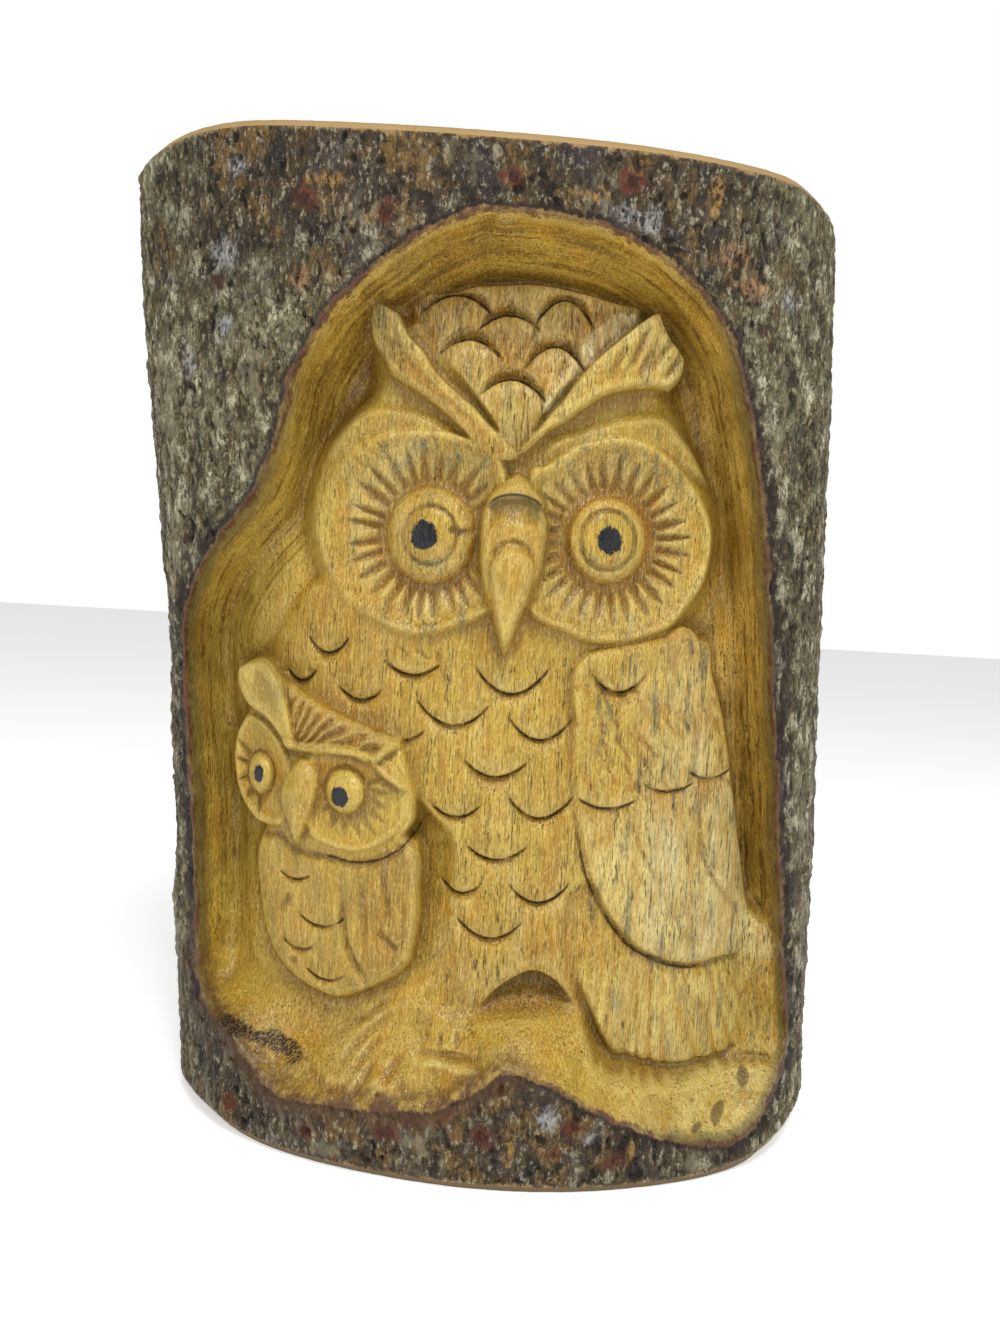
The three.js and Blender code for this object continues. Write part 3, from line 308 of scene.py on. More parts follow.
def within(points, x, z, margin=3.0):
    """Distance inside a closed outline, negative outside it."""
    run = smooth_run(points, True, 6)
    low, high = run.min(0) - margin, run.max(0) + margin
    near = (x > low[0]) & (x < high[0]) & (z > low[1]) & (z < high[1])
    px, pz = x[near], z[near]
    best = np.full(px.shape, 1e9)
    inside = np.zeros(px.shape, bool)
    for (x0, z0), (x1, z1) in zip(run[:-1], run[1:]):
        dx, dz = x1 - x0, z1 - z0
        t = np.clip(((px - x0) * dx + (pz - z0) * dz) / (dx * dx + dz * dz + 1e-9), 0, 1)
        best = np.minimum(best, (px - x0 - t * dx) ** 2 + (pz - z0 - t * dz) ** 2)
        between = (z0 > pz) != (z1 > pz)
        if between.any():
            inside ^= between & (px < x0 + (pz - z0) * dx / (dz or 1e-9))
    found = np.full(x.shape, -99.0)
    found[near] = np.where(inside, 1, -1) * np.sqrt(best)
    return found


def along(points, x, z, width, depth, taper=0.25):
    """Depth of a groove (or height of a ridge, if depth is negative) along an open path."""
    run = smooth_run(points, False, 5)
    low, high = run.min(0) - width, run.max(0) + width
    near = (x > low[0]) & (x < high[0]) & (z > low[1]) & (z < high[1])
    px, pz = x[near], z[near]
    best = np.full(px.shape, 1e9)
    place = np.zeros(px.shape)
    for i, ((x0, z0), (x1, z1)) in enumerate(zip(run[:-1], run[1:])):
        dx, dz = x1 - x0, z1 - z0
        t = np.clip(((px - x0) * dx + (pz - z0) * dz) / (dx * dx + dz * dz), 0, 1)
        gap = (px - x0 - t * dx) ** 2 + (pz - z0 - t * dz) ** 2
        closer = gap < best
        best = np.where(closer, gap, best)
        place = np.where(closer, (i + t) / (len(run) - 1), place)
    fade = ease(np.minimum(place, 1 - place) / taper)
    found = np.zeros(x.shape)
    found[near] = depth * fade * np.clip(1 - best / width ** 2, 0, 1)
    return found


def rounded_lip(inside, breadth):
    """1 at an outline, falling to 0 a breadth inside it."""
    return np.clip(1 - inside / breadth, 0, 1) ** 2


def feather_cut(x, z, end, depth, up=1, run=1.0):
    """The gouge cut past a rounded feather end; up is -1 for ends that point upwards."""
    cx, cz, half, sag, thick = end
    t = (x - cx) / half
    full = np.clip(1 - t * t, 0, 1)
    past = (up * (cz - z) + sag * t * t) / np.hypot(1, 2 * sag * t / half)
    breadth = thick * np.sqrt(full) * run + 1e-6
    cut = np.where(past > 0, np.clip(1 - past / breadth, 0, 1), ease(1 + past / 0.35))
    return cut * depth * full ** 0.6


class Carving:
    """The front of the log while it is cut: depth under the bark, and how it is toned."""

    def __init__(self, x, z, edge):
        self.x, self.z, self.edge = x, z, edge
        self.depth = np.zeros(x.shape)
        self.tone = np.tile(np.array(OCHRE), (len(x), 1))
        self.grey = np.zeros(x.shape)
        self.pores = np.full(x.shape, 0.35)
        self.ground = np.ones(x.shape)
        self.knife = np.full(x.shape, NO_KNIFE)
        self.knife_near = np.zeros(x.shape)

    def lay(self, level, inside, run):
        """Lay one level of the carving over another, sloping in from its edge."""
        over = ease(inside / run)
        self.depth += (level - self.depth) * over
        self.ground *= 1 - over
        self.knife_near *= 1 - over

    def stain_and_painted_light(self, colour, amount):
        """Rub a colour into the tone of the surface: used both for the wood's own stains and tones and
        for painted light and shade.
        """
        amount = np.clip(amount, 0, 1)[:, None]
        self.tone += (np.array(colour) - self.tone) * amount

    def knife_line(self, off, strength):
        """Keep the distance to the nearest knife line, and how clearly that line is cut."""
        near = strength * np.exp(-(off / KNIFE_REACH) ** 2)
        self.knife = np.where(near > self.knife_near, off, self.knife)
        self.knife_near = np.maximum(near, self.knife_near)

    def weather(self, grey, pores, inside, run=1.5):
        """How smudged with grey the wood is, and how open its pores are, inside an outline."""
        amount = ease(inside / run)
        self.grey += (grey - self.grey) * amount
        self.pores += (pores - self.pores) * amount


def recess_floor(c):
    """The hollowed ground behind the owls, with its cove above and its shelf below."""
    x, z, edge = c.x, c.z, c.edge
    shelf = SHELF_RUN * ease((44 - z) / 22) * ease((x + 62) / 30)
    run = WALL_RUN + shelf + 3 * ease((z - 150) / 20)
    floor = GROUND + GROUND_AT_HEAD * ease((z - 110) / 40) - 3 * ease((60 - z) / 30)
    floor = floor + 0.35 * rough(x / 7, z / 11, 3, 2) + 0.12 * speckle(x / 1.1, z / 9, 8)
    c.depth = floor * np.sin(np.clip(edge / run, 0, 1) * np.pi / 2) ** 1.15
    strokes = rough(edge / 2.1, (x + 2 * z) / 34, 5, 2) * ease((z - 30) / 10)
    wisps = speckle(edge / 0.7, (x + 2 * z) / 26, 4) * ease((z - 30) / 10)
    facets = rough(x / 5 + 0.5 * speckle(x / 9, z / 5, 9), z / 3.2, 6, 2) * ease((46 - z) / 12)
    top = ease((z - 128) / 30)
    c.depth += (0.30 * strokes + 0.10 * wisps + 0.55 * facets) * ease((edge - 1.5) / 2)
    tone_ground(c, strokes, wisps, top)
    tone_shelf(c, facets)
    big_foot(c)


def tone_ground(c, strokes, wisps, top):
    """Gouge strokes, painted shade round the figures, the cove's stained bands with painted shade
    towards the crown, painted light up its side walls, and its ledge with a painted highlight and
    painted shade below it.
    """
    x, z, edge = c.x, c.z, c.edge
    c.stain_and_painted_light(YELLOW, 0.75 * (1 - top))
    c.stain_and_painted_light(YELLOW, 0.55 * ease((rough(x / 9, z / 13, 11, 2) + 0.15) / 0.4))
    c.stain_and_painted_light(ORANGE, 0.50 * ease((strokes - 0.12) / 0.35))
    c.stain_and_painted_light(OLIVE, 0.45 * ease((-strokes - 0.15) / 0.4) * ease((edge - 2) / 2))
    c.stain_and_painted_light(UMBER, 0.55 * ease((wisps - 0.22) / 0.3) * ease((edge - 2) / 2)
            * ease((rough(x / 8, z / 8, 12, 2) + 0.2) / 0.4))
    for outline in (HEAD, TORSO, WING, OWLET_HEAD_EDGE, OWLET_BODY_EDGE):
        gap = within(outline, x, z, 7)
        beside = np.exp(-(gap / 2.6) ** 2) * ease(edge / 6)
        uneven = 0.65 + 0.7 * rough(x / 4, z / 6, 13, 2)
        c.depth += 1.6 * beside * (outline is not TORSO)
        strength = 0.35 if outline is TORSO else 1
        uneven = uneven * strength * ease(edge / 4)
        # painted shade on the ground where it meets each figure, weaker beside the breast
        c.stain_and_painted_light(DEEP_OCHRE, 0.45 * uneven * np.exp(-(gap / 1.8) ** 2))
        c.stain_and_painted_light(UMBER, 0.50 * uneven * np.exp(-(gap / 0.8) ** 2))
    # painted shade over the upper cove, darkest in the middle towards the crown
    shade = top * ease((edge - 3.5) / 3) * np.exp(-((x - 4) / 34) ** 4)
    c.stain_and_painted_light(DEEP_OCHRE, 0.50 * top * ease((edge - 4) / 4))
    c.stain_and_painted_light(UMBER, 0.72 * shade * ease(0.6 + 1.2 * strokes))
    # painted light: paler ground up the right wall of the recess, which lies in shade
    c.stain_and_painted_light(tint(222, 184, 92), 0.95 * ease((x - 38) / 7) * ease((176 - z) / 12)
            * ease((z - 40) / 20))
    # painted light: paler ground on the left wall beside the owlet
    c.stain_and_painted_light(PALE, 0.85 * ease((-x - 24) / 12) * ease((160 - z) / 20) * ease((z - 30) / 12))
    c.stain_and_painted_light(UMBER, 0.8 * np.exp(-((x - 4) / 1.4) ** 2 - ((z - 183.4) / 1.1) ** 2))
    ledge = np.exp(-((edge - 7.5) / 1.2) ** 2) * top
    c.depth += 0.5 * top * ease((edge - 7) / 1.5) - 0.35 * ledge
    # painted highlight along the cove's ledge, and painted shade just below it
    c.stain_and_painted_light(YELLOW, 0.60 * ledge)
    c.stain_and_painted_light(UMBER, 0.70 * top * np.exp(-((edge - 9.6) / 1.1) ** 2))
    wispy = ease(0.7 + rough(x / 5, z / 7, 20, 2)) * (1 - 0.5 * ease((x - 10) / 20))
    c.stain_and_painted_light(UMBER, 0.85 * top * wispy * np.exp(-((edge - 2.9 - 1.5 * strokes) / 1.9) ** 2))
    c.stain_and_painted_light(ORANGE, 0.25 * ease((x - 48) / 10) * (1 - top))


def tone_shelf(c, facets):
    """The shelf at the foot, with gouge arcs round the tail, and the shade beside the head."""
    x, z = c.x, c.z
    low = ease((34 - z) / 10)
    c.stain_and_painted_light(YELLOW, 0.45 * low)
    c.stain_and_painted_light(OCHRE, 0.65 * low * ease((-x - 10) / 12))
    c.stain_and_painted_light(OLIVE, 0.22 * low * ease((20 - x) / 12))
    gap = -within(TAIL, x, z, 12)
    arcs = ease((np.sin(2 * np.pi * gap / 1.7 + speckle(x / 6, z / 6, 66)) - 0.1) / 0.6)
    arcs = arcs * ease((gap - 2) / 1.5) * ease((9.5 - gap) / 2) * ease((x - 26) / 8) * (z < 24)
    c.depth += 0.10 * arcs
    c.stain_and_painted_light(OCHRE, 0.45 * arcs * ease(0.6 + rough(x / 4, z / 4, 67, 2)))
    c.stain_and_painted_light(CREAM, 0.85 * low * ease((x - 25) / 20))
    c.stain_and_painted_light(OCHRE, 0.6 * low * ease((-facets - 0.1) / 0.5))
    c.stain_and_painted_light(UMBER, 0.75 * ease((x - 18) / 16) * ease((138 - z) / 16) * ease((z - 84) / 14)
            * np.exp(-((within(HEAD, x, z, 9) + 2.2) / 3.2) ** 2))


def big_foot(c):
    """The big owl's foot on the shelf, its folds, some chips and the earthy rim below it."""
    x, z, edge = c.x, c.z, c.edge
    foot = within(FOOT, x, z)
    c.depth -= 1.3 * ease((foot + 0.6) / 2.4) * ease((edge - 1) / 3)
    c.stain_and_painted_light(YELLOW, 0.5 * ease(foot / 2))
    for fold in FOOT_FOLDS:
        groove = along(fold, x, z, 1.1, 1.0, 0.4)
        ridge = along([(px - 1.3, pz - 1.2) for px, pz in fold], x, z, 1.2, 1.0, 0.4)
        c.depth += 1.1 * groove - 0.7 * ridge
        # painted highlight on each fold's ridge, painted shade in its groove
        c.stain_and_painted_light(CREAM, 0.6 * ridge)
        c.stain_and_painted_light(DEEP_OCHRE, 0.9 * groove)
        c.stain_and_painted_light(UMBER, 0.55 * groove * ease(0.4 + rough(x / 2, z / 2, 7, 2)))
    chips = ease((speckle(x / 0.6, z / 2.4, 10) - 0.2) / 0.4) * np.exp(
        -((x - 1) / 7) ** 4 - ((z - 26.4) / 1.9) ** 2)
    c.depth += 0.7 * chips
    c.stain_and_painted_light(UMBER, 0.7 * chips)
    earthy = ease((8 - edge) / 5) * ease((30 - z) / 8) * ease((22 - x) / 12)
    earthy = earthy * ease(0.35 + 1.9 * rough(x / 2.4, z / 1.8, 2, 3))
    c.stain_and_painted_light(tint(98, 66, 22), 0.85 * earthy)
    c.depth += 0.4 * earthy * speckle(x / 1.2, z / 1.2, 1)


def close_to_rim(c):
    """At the lower right the wing and tail run out to the bark instead of dropping away."""
    x, z, edge = c.x, c.z, c.edge
    here = ease((x - 52) / 8) * ease((z - 15) / 5) * ease((58 - z) / 14)
    most_depth = 0.4 + 1.15 * np.maximum(edge, 0)
    c.depth += np.minimum(most_depth - c.depth, 0) * here


def breast(c):
    """The big owl's breast between head, wing and tail."""
    x, z = c.x, c.z
    body = within(TORSO, x, z)
    swell = BREAST_SWELL * np.exp(-((x - 8) / 15) ** 2 - ((z - 72) / 28) ** 2)
    level = BREAST + 0.6 * ease((z - 90) / 25) - swell + 1.6 * rounded_lip(body, 6)
    level = level + 0.12 * speckle(x / 0.7, z / 9, 21) + 0.28 * rough(x / 6, z / 10, 22, 2)
    c.lay(level, body, 3.4)
    c.stain_and_painted_light(PALE, ease(body / 2.5))
    c.stain_and_painted_light(OCHRE, 0.85 * ease(body) * ease((-x - 6) / 12) * ease((z - 76) / 10))
    c.stain_and_painted_light(OCHRE, 0.65 * ease(body / 2) * rounded_lip(body, 6))
    c.stain_and_painted_light(DEEP_OCHRE, 0.6 * ease(body) * np.exp(-((x - 19.6) / 1.5) ** 2) * ease((z - 30) / 9))
    c.stain_and_painted_light(OCHRE, 0.65 * ease(body) * ease((62 - z) / 20))
    c.stain_and_painted_light(OLIVE, 0.40 * ease(body) * ease((48 - z) / 12))
    c.stain_and_painted_light(OCHRE, 0.30 * ease(body) + 0.25 * ease(body) * ease((66 - z) / 20))
    c.weather(0.10, 1.0, body)
    c.weather(0.45, 1.0, np.minimum(body, (z - 94) / 3) * (np.abs(x - 3) < 16))


def tail_feathers(c):
    """The tail: ribs that fan out from above it, and a ledge where it stands off the shelf."""
    x, z = c.x, c.z
    tail = within(TAIL, x, z)
    fan = np.degrees(np.arctan2(x - 33, 95 - z)) + 1.9 * speckle(x / 4.5, z / 22, 23)
    tail = tail + 0.5 * np.sin(np.pi * (fan / 2.6 % 1)) * ease((26 - z) / 4)
    ledge = ease((tail + 3.2) / 2.6) * ease((c.edge - 1) / 3)
    c.depth += np.maximum(TAIL_TOP + 2.2 - c.depth, 0) * ledge
    # painted shade along the ledge below the tail's edge
    c.stain_and_painted_light(DEEP_OCHRE, 0.40 * ledge)
    quill = np.sin(np.pi * (fan / 2.6 % 1)) ** 0.7
    strength = 0.30 + 0.32 * speckle(np.floor(fan / 2.6) + 0.5, z / 18, 24)
    broad = np.sin(np.pi * (fan / 7.8 % 1)) ** 0.8
    level = TAIL_TOP + 0.9 * rounded_lip(tail, 3) + 1.6 * ease((z - 34) / 12) + 0.35
    level = level - 0.8 * ease((x - 52) / 16) - (strength * quill + 0.3 * broad) * ease(tail / 2)
    c.lay(level + 0.08 * speckle(fan / 0.4, z / 7, 25), tail, 1.0)
    c.stain_and_painted_light(PALE, ease(tail / 1.0))
    c.stain_and_painted_light(CREAM, 0.6 * ease(tail) * ease((quill - 0.5) / 0.4) * ease((46 - z) / 6))
    c.stain_and_painted_light(ORANGE, (0.30 + strength) * ease(tail) * ease((0.55 - quill) / 0.4))
    c.stain_and_painted_light(OCHRE, 0.5 * ease(tail / 1.5) * np.maximum(ease((z - 37) / 8), ease((x - 58) / 8)))
    c.weather(0.75, 0.9, tail)


def folded_wing(c):
    """The wing: quills, fine knife lines and, on the coverts, rows of slanting ticks."""
    x, z = c.x, c.z
    wing = within(WING, x, z)
    level = WING_TOP + 1.0 * rounded_lip(wing, 2.6) - 0.6 * ease((x - 44) / 18)
    lines = sum(along(line, x, z, 0.7, 1.0, 0.15) for line in WING_LINES)
    for quill in WING_QUILLS:
        level = level + along(quill, x, z, 2.2, 0.45)
    level = level + 0.5 * lines
    turned = 0.82 * x + 0.57 * z
    across = 0.57 * x - 0.82 * z
    coverts = ease((z - 75) / 3) * ease((101 - z) / 4)
    ticks = ease((speckle(turned / 0.75, across / 3.4, 26) - 0.15) / 0.5)
    ticks = ticks * coverts * ease((speckle(x / 6, z / 7, 28) + 0.6) / 0.6)
    level = level + 0.40 * ticks + 0.10 * speckle(x / 0.6, z / 8, 27)
    level = level + 0.25 * rough(x / 5, z / 16, 19, 2)
    c.lay(level, wing, 1.3)
    c.stain_and_painted_light(CREAM, 0.85 * ease(wing / 1.5) * ease((80 - z) / 10))
    c.stain_and_painted_light(PALE, 0.90 * ease(wing / 1.5) * ease((z - 76) / 6))
    c.stain_and_painted_light(tint(196, 186, 146), 0.55 * ease(wing / 1.5) * ease((x - 33) / 10)
            * (0.6 + 0.7 * speckle(x / 2.2, z / 16, 44)))
    c.stain_and_painted_light(ORANGE, 0.65 * ease(wing) * ticks)
    c.stain_and_painted_light(UMBER, 0.35 * ease(wing) * lines)
    c.stain_and_painted_light(OCHRE, 0.5 * ease(wing) * rounded_lip(wing, 2.4))
    c.weather(0.95, 1.0, wing)
    # a shallow groove round the wing's edge, darkened with painted shadow
    gap = np.exp(-((within(WING, x, z, 2) + 0.2) / 0.5) ** 2) * ease((60 - x) / 8)
    c.depth += 0.4 * gap
    c.stain_and_painted_light(UMBER, 0.60 * gap * ease((104 - z) / 6))


def cut_ends(c, ends, depth, up, run):
    """Gouge cuts past feather ends, with a fine dark knife line along each end."""
    x, z = c.x, c.z
    for end in ends:
        cut = feather_cut(x, z, end, 1.0, up, run)
        cx, cz, half, sag, thick = end
        t = (x - cx) / (half * 1.12)
        past = (up * (cz - z) + sag * t * t * 1.25) / np.hypot(1, 2 * sag * t / half)
        uneven = 0.75 + 0.5 * speckle(x / 1.7, x * 0 + cz, 29)
        knife = np.exp(-((past - 0.1) / 0.26) ** 2) * ease((1 - t * t) / 0.3) * uneven
        c.depth += cut * (BROAD_CUT if thick == BROAD_FEATHER else depth) + 0.35 * knife
        c.stain_and_painted_light(ORANGE if up > 0 else UMBER, 0.65 * cut)
        c.stain_and_painted_light(UMBER, 0.50 * np.clip(knife, 0, 1))
        c.knife_line(past - 0.1, ease((1 - t * t) / 0.4) * uneven)


def feather_ends(c):
    """The rounded feather ends of breast, crown and wing, and the wing's own edge."""
    cut_ends(c, BREAST_FEATHERS, BREAST_CUT, 1, BREAST_CUT_RUN)
    cut_ends(c, CROWN_FEATHERS, CROWN_CUT, -1, CROWN_CUT_RUN)
    cut_ends(c, WING_COVERTS, COVERT_CUT, 1, COVERT_CUT_RUN)
    for outline in (LEFT_TUFT, RIGHT_TUFT):
        c.knife_near *= 1 - ease(within(outline, c.x, c.z) / 0.4)
    wing = within(WING, c.x, c.z, 2)
    c.knife_line(wing + 0.3, ease((72 - c.z) / 12) * ease((54 - c.x) / 6))


def tuft_strip(c):
    """The pale, hatched strip of crown along the upper edge of the right tuft."""
    x, z = c.x, c.z
    strip = np.minimum(within(TUFT_STRIP, x, z), -within(RIGHT_TUFT, x, z))
    hatch = speckle((0.9 * x + 0.4 * z) / 0.6, (0.9 * z - 0.4 * x) / 3.0, 35)
    c.depth -= 0.5 * ease(strip / 0.8)
    c.depth += 0.25 * ease(strip / 0.5) * ease(hatch / 0.3)
    c.stain_and_painted_light(tint(214, 204, 160), 0.95 * ease((strip + 0.1) / 0.5))
    c.stain_and_painted_light(UMBER, 0.70 * ease(strip / 0.4) * ease((hatch - 0.2) / 0.3))


def facial_disc(c, outline, eye, level, seed):
    """A face disc: rays cut round the socket, and a domed eye with a ringed iris."""
    x, z = c.x, c.z
    inside = within(outline, x, z)
    sx, sz = eye["socket"]
    beyond = (np.hypot((x - eye["x"]) / sx, (z - eye["z"]) / sz) - 1) * (sx + sz) / 2
    reach = np.clip(beyond / np.maximum(beyond + inside - 1.6, 0.5), 0, 1)
    turn = np.arctan2(z - eye["z"], x - eye["x"]) / (2 * np.pi) * EYE_RAYS
    turn = turn + 0.16 * speckle(turn * 0.9, reach * 0 + seed, seed)
    which = np.floor(turn)
    off = np.abs(turn - which - 0.5) * 2
    length = 0.74 + 0.16 * speckle(which + 0.5, which * 0 + 0.5, seed + 1)
    along_ray = np.clip(reach / length, 0, 1)
    breadth = np.maximum(1.25 * (1 - along_ray) ** 0.8, 0.02)
    ray = np.clip(1.2 - 1.2 * off / breadth, 0, 1) * (beyond > -0.5) * (inside > 1.4)
    level = level + 0.6 * rounded_lip(inside, 0.8)
    level = level + (0.5 + 2.9 * (1 - reach) ** 0.8) * ease((inside - 1.0) / 2.2)
    level = level + 0.10 * speckle(turn * 3.1, reach * 2.3, seed + 2) * ease((inside - 2) / 2)
    level = level + 1.6 * ray * np.sqrt(1 - along_ray)
    between = ease((0.5 - np.abs(off - breadth - 0.25)) / 0.3) * (reach < length) * (inside > 1.4)
    socket = ease(1 - beyond / 1.2)
    level = level + (eye["floor"] - level) * socket
    ball = np.hypot((x - eye["x"]) / eye["ball"][0], (z - eye["z"]) / eye["ball"][1])
    iris = np.hypot((x - eye["x"]) / eye["iris"][0], (z - eye["z"]) / eye["iris"][1])
    dome = eye["floor"] - 3.9 * np.sqrt(np.clip(1 - ball ** 2.4, 0, 1))
    dome = np.where(iris < 1, np.minimum(dome, eye["floor"] - 3.15), dome)
    ring = np.clip(1 - ((iris - 1) * 5.5 / 0.6) ** 2, 0, 1)
    level = np.where(ball < 1, dome + 0.75 * ring, level)
    c.lay(level, inside, 1.4)

    shown = ease(inside / 1.0)
    c.stain_and_painted_light(PALE, shown)
    around = ease((1 - reach) / 0.6) * ease((inside - 1.5) / 1.5)
    patchy = 0.6 + 0.5 * speckle(x / 2.1, z / 2.1, seed + 6)
    c.stain_and_painted_light(OCHRE, 0.90 * shown * around)
    c.stain_and_painted_light(OCHRE, 0.75 * shown * ease((117 - z) / 6))
    # orange towards the socket: partly the wood's own tone, partly painted shade down the dish
    c.stain_and_painted_light(ORANGE, 0.85 * shown * ease((0.50 - reach) / 0.4) * patchy)
    c.stain_and_painted_light(tint(128, 80, 22), 0.85 * shown * ray * (1 - ease((reach - 0.30) / 0.4)))
    c.stain_and_painted_light(OLIVE, 0.90 * shown * ray * ease((reach - 0.22) / 0.3))
    # painted shade on one wall of each ray
    keen = np.exp(-((off / breadth - 0.75) / 0.22) ** 2) * ease((1 - along_ray) / 0.2)
    keen = keen * (turn - which > 0.5) * (beyond > 0.3) * (inside > 1.4)
    c.stain_and_painted_light(CREAM, 0.45 * shown * between * (beyond > 0.6) * ease((reach - 0.1) / 0.2))
    c.stain_and_painted_light(UMBER, 0.95 * shown * keen)
    above = ease((z - eye["z"] - 8) / 4) * ease((inside - 1.6) / 1.5)
    c.stain_and_painted_light(OLIVE, 0.70 * shown * above * (0.55 + 0.6 * speckle(x / 1.3, z / 2.2, seed + 5)))
    c.stain_and_painted_light(ORANGE, 0.70 * shown * ease(1.3 - beyond / 1.6))
    # painted shade in the socket round the ball
    c.stain_and_painted_light(UMBER, 0.75 * shown * np.exp(-((beyond - 0.1) / 0.9) ** 2))
    c.stain_and_painted_light(YELLOW, ease((1 - ball) / 0.12) * 0.95)
    c.stain_and_painted_light(PALE, 0.35 * (ball < 0.9))
    # painted shade darkening the ball towards its rim
    c.stain_and_painted_light(OCHRE, 0.9 * ease((ball - 0.60) / 0.3) * (ball < 1))
    c.stain_and_painted_light(ORANGE, 0.7 * ease((ball - 0.86) / 0.1) * (ball < 1))
    c.stain_and_painted_light(tint(88, 78, 36), 0.95 * ring * (ball < 1))
    c.stain_and_painted_light(UMBER, 0.5 * np.exp(-((iris - 1) / 0.035) ** 2) * (ball < 1))
    # painted shade on the lower part of the ball round the iris
    c.stain_and_painted_light(OLIVE, 0.6 * ease((1 - ball) / 0.05) * ease((iris - 0.7) / 0.2)
            * ease((eye["z"] - 2 - z) / 4) * ease((1.25 - iris) / 0.2))
    c.weather(0.35 + 0.65 * ease((z - 137) / 5) + 0.4 * ease((114 - z) / 4), 0.7, inside)


def head_and_brows(c):
    """The side of the big head and the ridges of its brows."""
    x, z = c.x, c.z
    head = within(HEAD, x, z, 4)
    cove = ease((z - 143) / 5) * ease((160 - z) / 5)
    c.lay(HEAD_SIDE + 0.8 * cove + 0.2 * rough(x / 3, z / 5, 31, 2), head, 5.0)
    c.stain_and_painted_light(OCHRE, 0.8 * ease(head / 3))
    c.stain_and_painted_light(YELLOW, 0.6 * ease(head / 3) * ease((rough(x / 5, z / 6, 14, 2) + 0.1) / 0.3))
    # painted light in the cove between the tufts and the brows
    c.stain_and_painted_light(PALE, 0.9 * ease(head / 2) * cove)
    c.stain_and_painted_light(OLIVE, 0.25 * ease(head / 3) * ease((z - 142) / 4))
    c.weather(0.15, 0.3, head)
    for outline in (LEFT_BROW_BAND, RIGHT_BROW_BAND):
        band = within(outline, x, z)
        c.lay(FACE + 1.3 + 0.2 * rough(x / 2, z / 2, 18, 2), band, 2.6)
        smeared = 0.55 + 0.8 * rough(x / 3, z / 3, 15, 2)
        c.stain_and_painted_light(YELLOW, 0.9 * ease(band / 0.8))
        c.stain_and_painted_light(OLIVE, 0.75 * ease(band / 1.6) * smeared)
        c.weather(0.25, 0.25, band)


def forehead(c):
    """The crown, rising to the back, darker and more orange upwards, with fine hairs."""
    x, z = c.x, c.z
    crown = within(FOREHEAD, x, z)
    level = CROWN - CROWN_RISE * ease((173 - z) / 26)
    level = level + 0.16 * speckle(x / 0.55, z / 8, 32) + 0.1 * speckle(x / 1.4, z / 12, 33)
    c.lay(level, crown, 1.2)
    shown = ease(crown / 1.0)
    c.stain_and_painted_light(OCHRE, shown)
    c.stain_and_painted_light(tint(150, 92, 28), 0.95 * shown * ease((z - 155) / 6)
            * (0.75 + 0.5 * speckle(x / 2, z / 9, 34)))
    c.stain_and_painted_light(UMBER, 0.92 * shown * ease((z - 159) / 8) * (0.65 + 0.6 * speckle(x / 3, z / 9, 16)))
    c.stain_and_painted_light(OLIVE, 0.5 * shown * ease((161 - z) / 4) * (0.6 + 0.6 * speckle(x / 1.2, z / 9, 17)))
    c.stain_and_painted_light(CREAM, 0.45 * shown * ease((157 - z) / 3) * np.exp(-((x - 6.5) / 6.5) ** 4))
    c.stain_and_painted_light(DEEP_OCHRE, 0.88 * shown * ease((z - 157) / 5))
    c.stain_and_painted_light(tint(96, 56, 8), 0.60 * shown * ease((z - 156) / 7))
    hairs = ease((speckle(x / 0.5, z / 7, 30) - 0.25) / 0.5)
    c.stain_and_painted_light(UMBER, 0.55 * shown * hairs)
    c.depth += 0.12 * shown * hairs
    c.weather(0.35, 1.0, crown)


def big_owl_face(c):
    """Both face discs, and the small round knob below the right one."""
    x, z = c.x, c.z
    facial_disc(c, LEFT_DISC, dict(LEFT_EYE, floor=FACE - 0.075 * (x - 2) + 4),
                FACE - 0.075 * (x - 2), 41)
    facial_disc(c, RIGHT_DISC, dict(RIGHT_EYE, floor=FACE + 0.02 * (x - 14) + 4),
                FACE + 0.02 * (x - 14), 51)

    bead = np.hypot((x - 43) / 4.2, (z - 106) / 4.4)
    shown = (bead < 1) & (within(RIGHT_DISC, x, z) < 0.4)
    dome = np.minimum(c.depth, 13.6 - 2.6 * np.sqrt(np.clip(1 - bead ** 2, 0, 1)))
    c.depth = np.where(shown, dome, c.depth)
    c.stain_and_painted_light(ORANGE, 0.5 * shown)
    # painted shadow round the lower half of the knob
    c.stain_and_painted_light(UMBER, 0.7 * np.exp(-((bead - 1.05) / 0.12) ** 2) * (z < 106.5)
            * (within(RIGHT_DISC, x, z) < 0.4))


